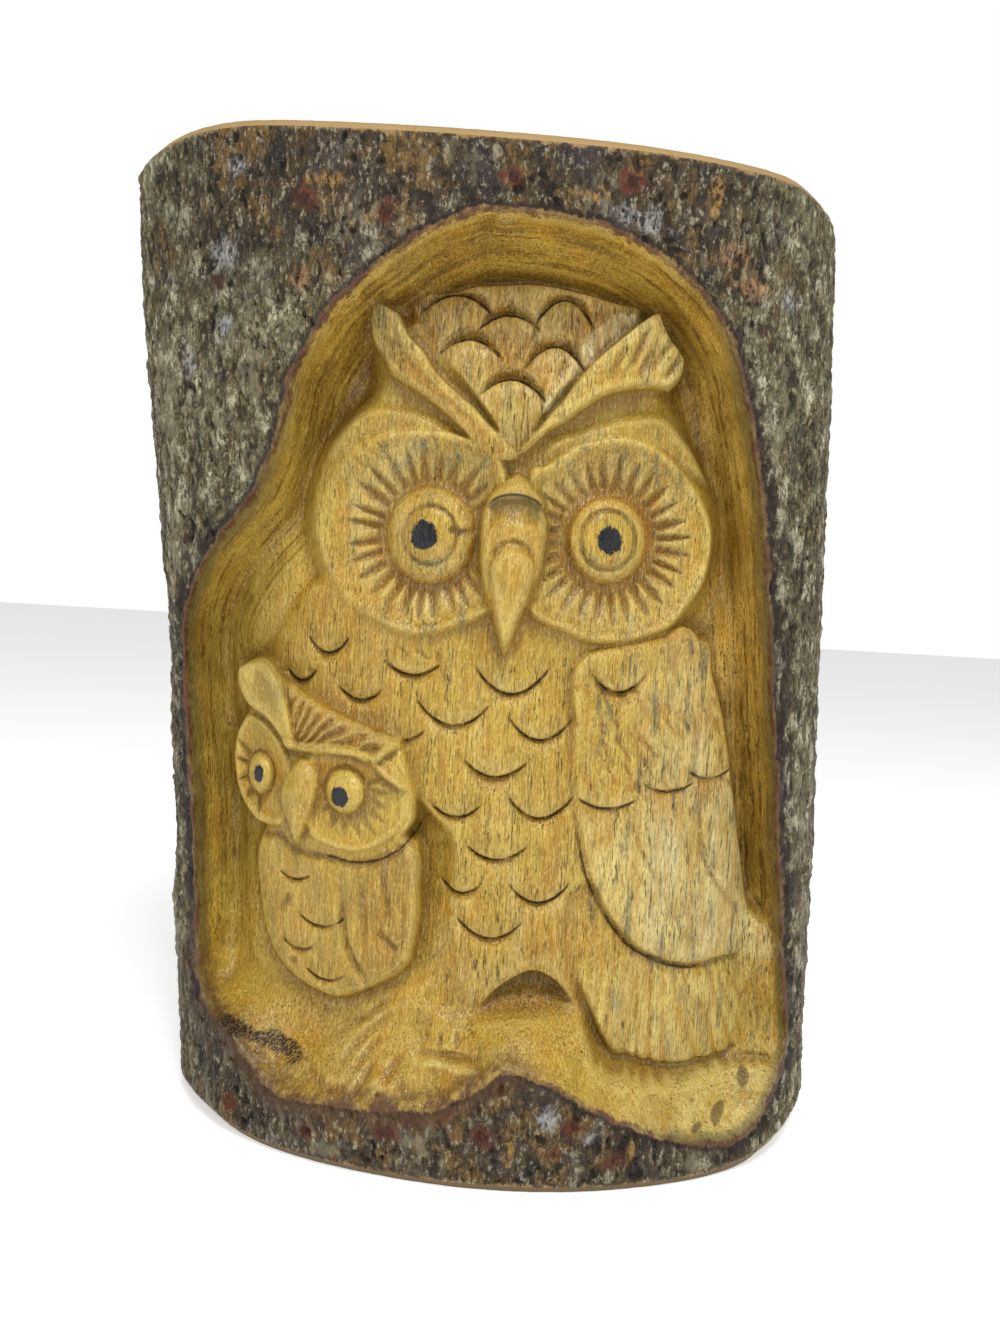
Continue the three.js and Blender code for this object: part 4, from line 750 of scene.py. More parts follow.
def tufts(c):
    """The two ear tufts: the left one falls away in a smooth facet, the right one has slits."""
    x, z = c.x, c.z
    for outline in (LEFT_TUFT, RIGHT_TUFT):
        tuft = within(outline, x, z)
        level = TUFT + 0.8 * rounded_lip(tuft, 0.9)
        shown = ease(tuft / 0.8)
        c.stain_and_painted_light(PALE, shown)
        if outline is RIGHT_TUFT:
            beneath = (z - 157) - (x - 22) * 1.18
            level = level + 0.16 * np.clip(beneath + 1, 0, 8) * ease((32 - x) / 8)
            c.stain_and_painted_light(OLIVE, 0.40 * shown * ease((beneath + 1) / 4))
            tips = ease((0.55 * x + 0.35 * z - 72.3) / 1.5)
            c.stain_and_painted_light(CREAM, 0.8 * shown * tips)
            for slit in TUFT_SLITS:
                cut = along(slit, x, z, 0.8, 1.0, 0.35)
                level = level + 0.9 * cut
                c.stain_and_painted_light(OCHRE, 0.70 * along(slit, x, z, 1.6, 1.0, 0.35) * shown)
                c.stain_and_painted_light(OLIVE, 0.75 * cut * shown)
            level = level + 0.14 * speckle((0.8 * x + 0.6 * z) / 7, (0.6 * x - 0.8 * z) / 0.7, 36)
        else:
            below = (x + 8) * -0.62 + (z - 158) * -0.78
            level = level + 0.30 * np.clip(below - 1.0, 0, 8)
            level = level + 0.16 * speckle((0.8 * x - 0.6 * z) / 7, (0.6 * x + 0.8 * z) / 0.7, 37)
            c.stain_and_painted_light(OCHRE, 0.9 * shown * ease((z - 146) / 6))
            c.stain_and_painted_light(ORANGE, 0.5 * shown * ease((below - 1.5) / 2))
            c.stain_and_painted_light(OLIVE, 0.85 * shown * ease((z - 157) / 6))
            hairs = ease((speckle(x / 0.55, z / 4, 39) - 0.3) / 0.4)
            c.stain_and_painted_light(UMBER, 0.55 * shown * hairs)
        c.lay(level, tuft, 0.8)
        # painted shadow just outside each tuft
        under = np.exp(-((tuft + 0.7) / 0.8) ** 2)
        c.stain_and_painted_light(UMBER, 0.45 * under)
        c.weather(0.5, 1.0, tuft)


def big_beak(c):
    """The beak with its bill, the scooped crescent above it, and the cuts beside it."""
    x, z = c.x, c.z
    beak = within(BEAK, x, z)
    ridge = 1 - np.clip(1 - beak / 6.2, 0, 1) ** 1.8
    level = BEAK_ROOT - BEAK_SWELL * ridge + 0.9 * ease((z - 131) / 6)
    c.lay(level + 0.06 * speckle(x / 0.5, z / 6, 38), beak, 1.6)
    c.stain_and_painted_light(YELLOW, ease(beak / 1.0))
    c.stain_and_painted_light(PALE, 0.5 * ease((beak - 2.5) / 2))
    c.stain_and_painted_light(OCHRE, 0.75 * ease(beak) * ease((z - 123) / 4))
    c.weather(0.2, 0.3, beak)
    bill = within(BILL_TIP, x, z)
    c.lay(BILL - 1.7 * (1 - np.clip(1 - bill / 4, 0, 1) ** 1.7), bill, 1.0)
    c.stain_and_painted_light(PALE, ease(bill / 0.8))
    # painted shade on the right side of the bill
    c.stain_and_painted_light(OCHRE, 0.5 * ease(bill / 0.5) * ease((x - 9) / 2.5))
    c.stain_and_painted_light(UMBER, 0.5 * ease(beak / 0.6) * ease((108.5 - z) / 4))
    c.stain_and_painted_light(UMBER, 0.65 * np.exp(-((bill - 0.1) / 0.35) ** 2) * (z > 116))
    line = along(BILL_ARCH, x, z, 0.75, 1.0, 0.2)
    c.depth += 0.7 * line
    c.stain_and_painted_light(UMBER, 0.75 * line)
    # painted shade down both flanks of the beak, deeper on its right
    flank = ease(beak / 0.4) * ease((2.6 - beak) / 2)
    c.stain_and_painted_light(OCHRE, 0.8 * flank)
    c.stain_and_painted_light(OLIVE, 0.5 * flank * ease((x - 8) / 4))
    brow = z - 132.7 + 0.055 * (x - 8.3) ** 2
    across = ease((6.6 - np.abs(x - 8.3)) / 2.5)
    scoop = ease((1.2 - brow) / 0.8) * ease((brow + 5.2) / 4.4) * across
    c.depth += 2.0 * scoop
    c.stain_and_painted_light(OLIVE, 0.95 * scoop)
    c.stain_and_painted_light(tint(104, 88, 42), 0.75 * ease((scoop - 0.3) / 0.5))
    # painted shadow along the scoop's upper edge
    c.stain_and_painted_light(BLACK_BROWN, 0.85 * np.exp(-((brow - 1.1) / 0.45) ** 2) * across)
    c.stain_and_painted_light(UMBER, 0.55 * np.exp(-((x - 7.7) / 3.0) ** 2 - ((z - 140.3) / 2.4) ** 2))
    # painted shadow just below the tip of the bill
    c.stain_and_painted_light(UMBER, 0.7 * np.exp(-((x - 7.0) / 0.8) ** 2 - ((z - 101.8) / 1.3) ** 2))
    for gouge in CHIN_GOUGES:
        cut = along(gouge, x, z, 0.7, 1.0)
        c.depth += 0.5 * cut
        c.stain_and_painted_light(UMBER, 0.5 * cut)
    crack = along(EYE_CRACK, x, z, 0.95, 1.0, 0.1)
    c.depth += 0.4 * crack
    c.stain_and_painted_light(BLACK_BROWN, crack * 2.4)


def wedge_cut(x, z, eye, tip_x, tip_z, breadth):
    """A wedge cut that is broad at the owlet's eye and runs out to a point."""
    dx, dz = tip_x - eye["x"], tip_z - eye["z"]
    long = math.hypot(dx, dz)
    ux, uz = dx / long, dz / long
    root = 1 / math.hypot(ux / eye["ball"][0], uz / eye["ball"][1])
    out = (x - eye["x"]) * ux + (z - eye["z"]) * uz
    aside = np.abs((x - eye["x"]) * -uz + (z - eye["z"]) * ux)
    t = np.clip((out - root) / (long - root), 0, 1)
    half = breadth * (1 - t) + 1e-3
    return np.clip(1.5 - 1.5 * aside / half, 0, 1) * np.sqrt(1 - t) * (out > root - 0.6)


def owlet_body(c):
    """The owlet's breast and folded wing; returns how far inside its outline each point is."""
    x, z = c.x, c.z
    body = within(OWLET_BODY_EDGE, x, z)
    level = OWLET_BODY + 1.8 * rounded_lip(body, 5) + 0.25 * rough(x / 4, z / 6, 62, 2)
    lines = along(OWLET_WING_EDGE, x, z, 1.0, 1.0)
    lines = np.maximum(lines, along(OWLET_WING_NOTCH, x, z, 1.0, 1.0))
    for quill in OWLET_QUILLS:
        lines = np.maximum(lines, 0.7 * along(quill, x, z, 0.8, 1.0))
    level = level + 1.0 * lines + 0.12 * speckle(x / 0.55, z / 6, 61)
    c.lay(level, body, 2.0)
    c.stain_and_painted_light(YELLOW, 0.8 * ease(body / 1.2))
    c.stain_and_painted_light(OCHRE, 0.95 * ease(body / 1.5) * ease((x + 23) / 6))
    c.stain_and_painted_light(DEEP_OCHRE, 0.65 * ease(body / 1.5) * ease((x + 21) / 6))
    c.stain_and_painted_light(OCHRE, 0.5 * ease(body / 1.5) * ease((rough(x / 4, z / 5, 65, 2) + 0.1) / 0.3))
    c.stain_and_painted_light(OCHRE, 0.8 * ease(body) * rounded_lip(body, 5))
    c.stain_and_painted_light(UMBER, 0.55 * lines * ease(body))
    for gouge in OWLET_GOUGES:
        cut = along(gouge, x, z, 0.9, 1.0)
        c.depth += 0.7 * cut
        c.stain_and_painted_light(UMBER, 0.7 * cut)
    c.weather(0.3, 0.35, body)
    cut_ends(c, OWLET_FEATHERS, OWLET_CUT, 1, OWLET_CUT_RUN)
    return body


def owlet_head(c, body):
    """The owlet's head, with a knife line under it, and its two face discs."""
    x, z = c.x, c.z
    head = within(OWLET_HEAD_EDGE, x, z)
    under = np.exp(-((head + 0.8) / 0.8) ** 2) * ease(body) * ease((74 - z) / 4)
    c.depth += 0.9 * under
    c.stain_and_painted_light(UMBER, 0.8 * under)
    c.lay(OWLET_HEAD + 1.0 * rounded_lip(head, 2.4), head, 1.5)
    c.knife_line(head + 0.6, ease((70 - z) / 3) * ease((x + 28) / 4))
    c.stain_and_painted_light(YELLOW, 0.8 * ease(head / 1.0))
    c.weather(0.2, 0.15, head)
    for eye in OWLET_EYES:
        inside = within(eye["edge"], x, z)
        spread = np.hypot((x - eye["x"]) / eye["socket"][0], (z - eye["z"]) / eye["socket"][1])
        cuts = np.zeros(x.shape)
        for tip_x, tip_z, breadth in eye["cuts"]:
            cuts = np.maximum(cuts, wedge_cut(x, z, eye, tip_x, tip_z, breadth))
        cuts = cuts * ease((inside - 0.6) / 1.0)
        level = OWLET_FACE + 0.8 * rounded_lip(inside, 1.2) + 1.1 * ease((inside - 0.8) / 3)
        level = level + 1.0 * cuts + 0.15 * rough(x / 2, z / 2, 63, 2)
        level = np.where(spread < 1.04, OWLET_FACE + 1.7, level)
        ball = np.hypot((x - eye["x"]) / eye["ball"][0], (z - eye["z"]) / eye["ball"][1])
        dome = OWLET_FACE + 1.7 - 3.1 * np.sqrt(np.clip(1 - ball ** 2.2, 0, 1))
        c.lay(np.where(ball < 1, dome, level), inside, 1.1)
        shown = ease(inside / 0.8)
        c.stain_and_painted_light(YELLOW, 0.9 * shown)
        c.stain_and_painted_light(OCHRE, 0.9 * shown * ease((1.9 - spread) / 0.7))
        c.stain_and_painted_light(ORANGE, 0.55 * shown * cuts)
        c.stain_and_painted_light(OLIVE, 0.75 * shown * cuts)
        c.stain_and_painted_light(ORANGE, 0.60 * shown * np.exp(-((spread - 1.02) / 0.10) ** 2))
        c.stain_and_painted_light(PALE, ease((1 - ball) / 0.1))
    return head


def owlet_crown(c, head):
    """The owlet's fanned crown, its ear, the ridges of its brows and its beak."""
    x, z = c.x, c.z
    crown = within(OWLET_CROWN, x, z)
    fan = np.degrees(np.arctan2(z - 78, x + 37)) / 9.5 + 0.35 * speckle(x / 3, z / 3, 64)
    facet = np.abs(fan - np.round(fan)) * 2
    c.lay(OWLET_HEAD - 1.6 + 1.3 * facet, crown, 1.0)
    c.stain_and_painted_light(OCHRE, ease(crown / 0.8))
    c.stain_and_painted_light(DEEP_OCHRE, 0.9 * ease(crown / 0.8))
    c.stain_and_painted_light(YELLOW, 0.35 * ease(crown / 0.8) * ease((0.4 - facet) / 0.3))
    c.stain_and_painted_light(ORANGE, 0.75 * ease(crown / 0.8) * ease((facet - 0.3) / 0.4))
    c.stain_and_painted_light(tint(104, 62, 12), 0.35 * ease(crown / 0.8))
    c.stain_and_painted_light(UMBER, 0.35 * ease(crown / 0.8) * ease((facet - 0.75) / 0.2))
    ear = within(OWLET_EAR_EDGE, x, z)
    fold = np.abs((x + 40) * 0.8 + (z - 91) * 0.42)
    c.lay(OWLET_EAR + 1.0 * rounded_lip(ear, 1.4) + 0.25 * np.clip(3 - fold, 0, 3), ear, 0.9)
    c.stain_and_painted_light(PALE, ease(ear / 0.7))
    c.stain_and_painted_light(OLIVE, 0.8 * ease(ear / 0.8) * ease((z - 88) / 5) * ease((x + 44.5) / 3))
    # painted shadow round the ear
    under = np.exp(-((ear + 0.5) / 0.6) ** 2)
    c.stain_and_painted_light(UMBER, 0.6 * under * ease(head + 1))
    for path, width in ((OWLET_BROW, 1.25), (OWLET_RIGHT_BROW, 1.1), (OWLET_LID, 0.9)):
        ridge = along(path, x, z, width, 1.0, 0.12)
        shade = along([(px + 0.2, pz - 1.5) for px, pz in path], x, z, 1.0, 1.0, 0.15)
        c.stain_and_painted_light(OLIVE, 0.7 * shade * (1 - ridge))
        c.depth += 0.5 * shade * (1 - ridge) - 1.5 * ridge
        c.stain_and_painted_light(PALE, 0.7 * ridge)
    beak = within(OWLET_BEAK_EDGE, x, z)
    # painted shadow under the beak
    under = np.exp(-((beak + 0.4) / 0.6) ** 2) * ease((76 - z) / 4)
    c.stain_and_painted_light(UMBER, 0.6 * under)
    c.lay(OWLET_BEAK + 2.4 * np.clip(1 - beak / 3.4, 0, 1) ** 1.2, beak, 0.9)
    c.stain_and_painted_light(YELLOW, ease(beak / 0.8))
    # painted shade on the right facet of the beak
    facet = ease((x + 32.8 - (z - 70) * 0.12) / 0.6) * ease(beak / 0.5)
    c.stain_and_painted_light(OCHRE, 0.5 * facet)


def carved_front(x, z, edge):
    """All the carving, cut in order from the ground forwards."""
    c = Carving(x, z, edge)
    for cut in (recess_floor, breast, tail_feathers, folded_wing, head_and_brows, forehead,
                big_owl_face, tufts, big_beak, feather_ends, tuft_strip, arch_under_body):
        cut(c)
    owlet_crown(c, owlet_head(c, owlet_body(c)))
    handled_wood(c)
    close_to_rim(c)
    c.depth = c.depth * ease(edge / 2.6 + 0.12)
    return c


def arch_under_body(c):
    """The arch between the legs and the tail, made dark with painted shade."""
    x, z = c.x, c.z
    arch = within(ARCH, x, z)
    top = within(ARCH_TOP, x, z)
    shelf = c.depth + 0.0
    hollow = ARCH_HOLLOW + (shelf - ARCH_HOLLOW) * ease((37.5 - z) / 7)
    c.depth += (np.maximum(hollow, shelf) - c.depth) * ease(arch / 1.6)
    # painted shade in the deep hollow, darkest under its top edge
    c.stain_and_painted_light(tint(84, 74, 40), 0.95 * ease(arch / 1.2) * ease((z - 31.5) / 3))
    c.stain_and_painted_light(UMBER, 0.85 * ease(arch / 1.0) * ease((3.0 - top) / 1.6) * ease((z - 34) / 3))
    c.stain_and_painted_light(ORANGE, 0.5 * ease(arch / 1.2) * np.exp(-((z - 33.8) / 1.3) ** 2))
    shade = along(TAIL_FOOT_SHADE, x, z, 1.5, 1.0, 0.3)
    c.depth += 0.8 * shade
    c.stain_and_painted_light(UMBER, 0.75 * shade)


def handled_wood(c):
    """Uneven tones over all the carved wood: smeared olive, honey and paler places."""
    x, z = c.x, c.z
    smeared = ease((rough(x / 3.2, z / 4.2, 81, 3) - 0.12) / 0.30)
    c.stain_and_painted_light(OLIVE, 0.26 * smeared)
    honey = ease((rough(x / 4.5, z / 6.5, 82, 3) - 0.10) / 0.30)
    c.stain_and_painted_light(tint(166, 118, 36), 0.36 * honey)
    pale = ease((rough(x / 3.5, z / 8, 83, 3) - 0.15) / 0.30)
    c.stain_and_painted_light(tint(206, 190, 128), 0.30 * pale * ease((c.pores - 0.2) / 0.5))


def around_rim(angle, centre, spread):
    """A bump around the rim, centred on an angle and spread over another."""
    apart = np.arctan2(np.sin(angle - centre), np.cos(angle - centre))
    return np.exp(-(apart / spread) ** 2)


def bark_swelling(angle, z):
    """Long, low swellings of the bark in millimetres."""
    broad = np.sin(3 * angle + 0.03 * z)
    narrow = 0.6 * np.sin(7 * angle - 0.05 * z + 1)
    return BARK_SWELL * (broad + narrow)


def rim_bevels(angle):
    """How far the top and bottom edges of the log are worn down."""
    left = around_rim(angle, -1.3, 0.3)
    right = around_rim(angle, 1.2, 0.28)
    low_left = around_rim(angle, -1.05, 0.3)
    return (TOP_BEVEL + WORN_CORNER * (0.3 * left + 0.15 * right),
            BASE_BEVEL + WORN_CORNER * (right + 0.5 * low_left))


def top_height(angle):
    """Height of the uneven sawn top."""
    raised = 1.1 * np.sin(angle) ** 2 + 0.28 * (1 - np.cos(4 * angle))
    raised += 1.7 * around_rim(angle, -0.72, 0.34) + 1.4 * around_rim(angle, 1.0, 0.25)
    return HEIGHT + TOP_SLOPE * TOP_RADIUS * np.sin(angle) + raised - 0.2


def log_axis(z):
    """Where the middle of the leaning log lies at a height."""
    return AXIS_AT_BASE + (AXIS_AT_TOP - AXIS_AT_BASE) * z / HEIGHT


def roundness(angle):
    """How far forward each angle lies: the front of the log is a little fuller than round."""
    c = np.cos(angle)
    return np.where(c > 0, np.abs(c) ** FRONT_FULLNESS, c)


def log_radius(angle, z):
    """Radius of the tapered log in one direction at a height."""
    waist = 2.0 * around_rim(angle, -1.5, 0.35) * np.exp(-((z - 86) / 40) ** 2)
    even = BASE_RADIUS + (TOP_RADIUS - BASE_RADIUS) * z / HEIGHT
    return even + bark_swelling(angle, z) - waist


def blurred(field, across, up):
    """Mean of a field over a window of columns and rows, wrapped around the log."""
    def run_mean(values, half):
        """Mean of the neighbours along the first axis."""
        wide = np.concatenate([values[:1]] * half + [values] + [values[-1:]] * half)
        total = np.cumsum(np.concatenate([np.zeros_like(wide[:1]), wide]), 0)
        return (total[2 * half + 1:] - total[:-2 * half - 1]) / (2 * half + 1)
    return run_mean(run_mean(field, up).T, across).T


def bark_relief(round_mm, z):
    """How far the bark stands out or in from its even skin, in millimetres."""
    warp = 1.5 * speckle(round_mm / 9, z / 9, 70)
    plates = rough((round_mm + warp) / 11, z / 20, 71, 3)
    ridges = 1 - 2 * np.abs(rough((round_mm + warp) / 3.2, z / 14, 72, 3))
    crumbs = rough(round_mm / 1.3, z / 2.2, 73, 2)
    pits = ease((rough(round_mm / 1.5, z / 2.1, 74, 2) - 0.34) / 0.22)
    return 0.75 * plates + 0.36 * ridges + 0.50 * crumbs - 0.60 * pits


def nearest_patch(places, x, z):
    """How far the nearest oval patch is, 1 on its outline and 0 in its middle."""
    found = np.full(x.shape, FAR_OFF)
    for centre_x, centre_z, half_x, half_z, turn in places:
        dx, dz = x - centre_x, z - centre_z
        turned_x = math.cos(math.radians(turn)) * dx - math.sin(math.radians(turn)) * dz
        turned_z = math.sin(math.radians(turn)) * dx + math.cos(math.radians(turn)) * dz
        found = np.minimum(found, np.hypot(turned_x / half_x, turned_z / half_z))
    return found


def log_skin():
    """Rows of points up the side of the log, and what is known of each of them."""
    front = np.linspace(-CARVED_ANGLE, CARVED_ANGLE, FRONT_COLUMNS, endpoint=False)
    back = np.linspace(CARVED_ANGLE, 2 * np.pi - CARVED_ANGLE, BACK_COLUMNS, endpoint=False)
    angle = np.concatenate([front, back])
    angle = np.where(angle > np.pi, angle - 2 * np.pi, angle)
    top_bevel, base_bevel = rim_bevels(angle)
    up = np.linspace(0, 1, SIDE_ROWS + 1)[:, None]
    low = base_bevel[None, :]
    high = (top_height(angle) - top_bevel)[None, :]
    z = low + (high - low) * up
    a = np.broadcast_to(angle[None, :], z.shape)
    radius = log_radius(a, z)
    x = log_axis(z) + radius * np.sin(a)

    round_mm = a * GIRTH_RADIUS
    edge = np.full(z.shape, -EDGE_REACH)
    ahead = np.abs(a) < CARVED_ANGLE
    edge[ahead] = np.maximum(within(RECESS, x[ahead], z[ahead], EDGE_REACH), -EDGE_REACH)
    ragged = 0.55 * rough(x / 3.4, z / 3.4, 75, 3) * np.exp(-(edge / 7) ** 2)
    edge = np.where(ahead, edge + ragged, edge)
    inside = ahead & (edge > 0)
    carving = carved_front(x[inside], z[inside], edge[inside])
    depth = np.zeros(z.shape)
    depth[inside] = carving.depth
    tone = np.tile(np.array(OCHRE), z.shape + (1,))
    tone[inside] = carving.tone
    grey = np.zeros(z.shape)
    grey[inside] = carving.grey
    pores = np.zeros(z.shape)
    pores[inside] = carving.pores
    ground = np.zeros(z.shape)
    ground[inside] = carving.ground
    knife = np.full(z.shape, NO_KNIFE)
    knife[inside] = carving.knife
    knife_near = np.zeros(z.shape)
    knife_near[inside] = carving.knife_near

    bark = ease((0.6 - edge) / 1.2)
    rim = np.minimum(z - low, high - z)
    stand = bark_relief(round_mm, z) * bark * ease((rim + 0.8) / 2.5)
    radius = radius + stand
    x = log_axis(z) + radius * np.sin(a)
    y = -radius * roundness(a) + depth / np.maximum(np.cos(a), 0.3)
    fine = depth - blurred(depth, FINE_WINDOW, FINE_WINDOW)
    broad = depth - blurred(depth, BROAD_WINDOW, BROAD_WINDOW)
    fields = {"edge": edge, "groove": fine, "hollow": broad, "grey": grey, "pores": pores,
              "ground": ground, "knife": knife,
              "knife_near": knife_near, "stand": stand, "rim": rim}
    for name, places in PATCHES.items():
        fields[name] = nearest_patch(places, x, z)
    return angle, np.stack([x, y, z], -1), fields, tone


def build_log():
    """The whole log as one closed mesh: side, bevels and both sawn ends."""
    angle, side, fields, tone = log_skin()
    rows, around = side.shape[:2]
    top_bevel, base_bevel = rim_bevels(angle)

    def end_rings(bevel, height, flat_z):
        """Rings of points that close one sawn end."""
        rings = []
        radius = log_radius(angle, flat_z) - 0.9 * bevel
        for k in range(END_RINGS):
            part = 1 - k / END_RINGS
            rings.append(np.stack([log_axis(height) + part * radius * np.sin(angle),
                                   -part * radius * roundness(angle),
                                   height + (flat_z - height) * part], -1))
        return rings

    top = top_height(angle)
    top_rings = end_rings(top_bevel, HEIGHT, top)
    base_rings = end_rings(base_bevel, 0.0, np.zeros_like(angle))
    points = np.concatenate([np.stack(base_rings[::-1]), side, np.stack(top_rings)])
    count = points.shape[0]
    flat = points.reshape(-1, 3)
    centres = np.array([[AXIS_AT_BASE, 0, 0], [AXIS_AT_TOP, 0, HEIGHT]])
    vertices = np.concatenate([flat, centres]) * MM

    ring = np.arange(around)
    after = (ring + 1) % around
    starts = (np.arange(count - 1) * around)[:, None]
    quads = np.stack([starts + ring, starts + after, starts + around + after,
                      starts + around + ring], -1).reshape(-1, 4)
    base_centre = len(flat)
    top_centre = base_centre + 1
    last = (count - 1) * around
    base_fan = np.stack([after, ring, np.full_like(ring, base_centre)], -1)
    top_fan = np.stack([last + ring, last + after, np.full_like(ring, top_centre)], -1)

    mesh = bpy.data.meshes.new("owl_log_dense")
    mesh.from_pydata(vertices.tolist(), [], quads.tolist() + base_fan.tolist()
                     + top_fan.tolist())
    mesh.update()

    def padded(field, fill):
        """A field of the side with one value over both ends."""
        ends = np.full((END_RINGS, around), fill)
        flat_field = np.concatenate([ends, field, ends]).reshape(-1)
        return np.concatenate([flat_field, [fill, fill]])

    fills = {"edge": -EDGE_REACH, "groove": 0.0, "hollow": 0.0, "grey": 0.0, "pores": 0.0,
             "ground": 0.0, "knife": NO_KNIFE, "knife_near": 0.0, "stand": 0.0, "rim": -1.0}
    for name, field in fields.items():
        store(mesh, name, padded(field, fills.get(name, FAR_OFF)))
    within_rim = np.repeat(np.arange(END_RINGS) / END_RINGS * 75, around)
    store(mesh, "under_bark", np.concatenate([
        within_rim[::-1], np.zeros(rows * around), within_rim, [75, 75]]))
    end_tone = np.tile(np.array(PALE), (END_RINGS, around, 1))
    colours = np.concatenate([end_tone, tone, end_tone]).reshape(-1, 3)
    colours = np.concatenate([colours, [PALE, PALE]])
    colours = np.concatenate([colours, np.ones((len(colours), 1))], 1)
    layer = mesh.attributes.new("tone", "FLOAT_COLOR", "POINT")
    layer.data.foreach_set("color", colours.astype(np.float32).reshape(-1))
    side_face = np.zeros(len(mesh.polygons), np.float32)
    side_face[(END_RINGS) * around:(END_RINGS + rows - 1) * around] = 1
    return mesh, side_face


def store(mesh, name, values):
    """Keeps one number for each point of the mesh."""
    layer = mesh.attributes.new(name, "FLOAT", "POINT")
    layer.data.foreach_set("value", np.asarray(values, np.float32))


# Node helpers shared by the surface tree and the materials
class Nodes:
    """Adds nodes to one tree and links what they are given."""

    def __init__(self, tree):
        self.tree = tree

    def add(self, kind, inputs=None, **settings):
        """A node of one kind with its inputs and settings."""
        node = self.tree.nodes.new(kind)
        for key, value in settings.items():
            setattr(node, key, value)
        for key, value in (inputs or {}).items():
            self.feed(node.inputs[key], value)
        return node

    def feed(self, socket, value):
        """Links a socket to another one, or gives it a value."""
        if isinstance(value, bpy.types.NodeSocket):
            self.tree.links.new(value, socket)
        else:
            socket.default_value = value

    def math(self, operation, a, b=0.0, clamp=False):
        node = self.add("ShaderNodeMath", {0: a, 1: b}, operation=operation)
        node.use_clamp = clamp
        return node.outputs[0]

    def times(self, first, *others):
        for other in others:
            first = self.math("MULTIPLY", first, other)
        return first

    def plus(self, a, b):
        return self.math("ADD", a, b)

    def less(self, a, b):
        return self.math("SUBTRACT", a, b)

    def step(self, value, low, high, out_low=0.0, out_high=1.0):
        """Smooth step of a value from low to high."""
        node = self.add("ShaderNodeMapRange",
                        {0: value, 1: low, 2: high, 3: out_low, 4: out_high},
                        interpolation_type="SMOOTHSTEP")
        return node.outputs[0]

    def blend(self, amount, first, second):
        """The first colour where the amount is 0, the second where it is 1."""
        node = self.add("ShaderNodeMix", data_type="RGBA")
        self.feed(node.inputs[0], amount)
        for socket, value in ((node.inputs[6], first), (node.inputs[7], second)):
            self.feed(socket, value if isinstance(value, bpy.types.NodeSocket)
                      else (*value, 1))
        return node.outputs[2]

    def layered(self, colour, layers):
        """Colours laid over each other, each as (value, low, high, least, most, colour)."""
        for value, low, high, least, utmost, tinted in layers:
            colour = self.blend(self.step(value, low, high, least, utmost), colour, tinted)
        return colour

    def bump(self, height, strength, distance):
        """A surface direction from a height."""
        node = self.add("ShaderNodeBump", {"Height": height, "Strength": strength,
                                           "Distance": distance})
        return node.outputs[0]

    def noise(self, place, stretch, detail=3.0, roughness=0.5, offset=0.0):
        """Noise that changes once in the given lengths (millimetres) along x, y and z."""
        scaled = self.add("ShaderNodeVectorMath", {0: place}, operation="MULTIPLY_ADD")
        scaled.inputs[1].default_value = [1 / (s * MM) for s in stretch]
        scaled.inputs[2].default_value = (11.3 * offset, 7.1 * offset, 5.7 * offset)
        node = self.add("ShaderNodeTexNoise", {"Vector": scaled.outputs[0], "Scale": 1.0,
                        "Detail": detail, "Roughness": roughness})
        return node.outputs[0]

    def noise_vector(self, place, size):
        """A vector that wanders once in the given length (millimetres)."""
        node = self.add("ShaderNodeTexNoise", {"Vector": place, "Scale": 1 / (size * MM),
                        "Detail": 2.0})
        return node.outputs["Color"]

    def cells(self, place, stretch, feature="F1"):
        """Cells of the given lengths (millimetres) along x, y and z."""
        scaled = self.add("ShaderNodeVectorMath", {0: place},
                          operation="MULTIPLY").outputs[0]
        scaled.node.inputs[1].default_value = [1 / (s * MM) for s in stretch]
        node = self.add("ShaderNodeTexVoronoi", {"Vector": scaled, "Scale": 1.0},
                        feature=feature)
        return node.outputs[0]


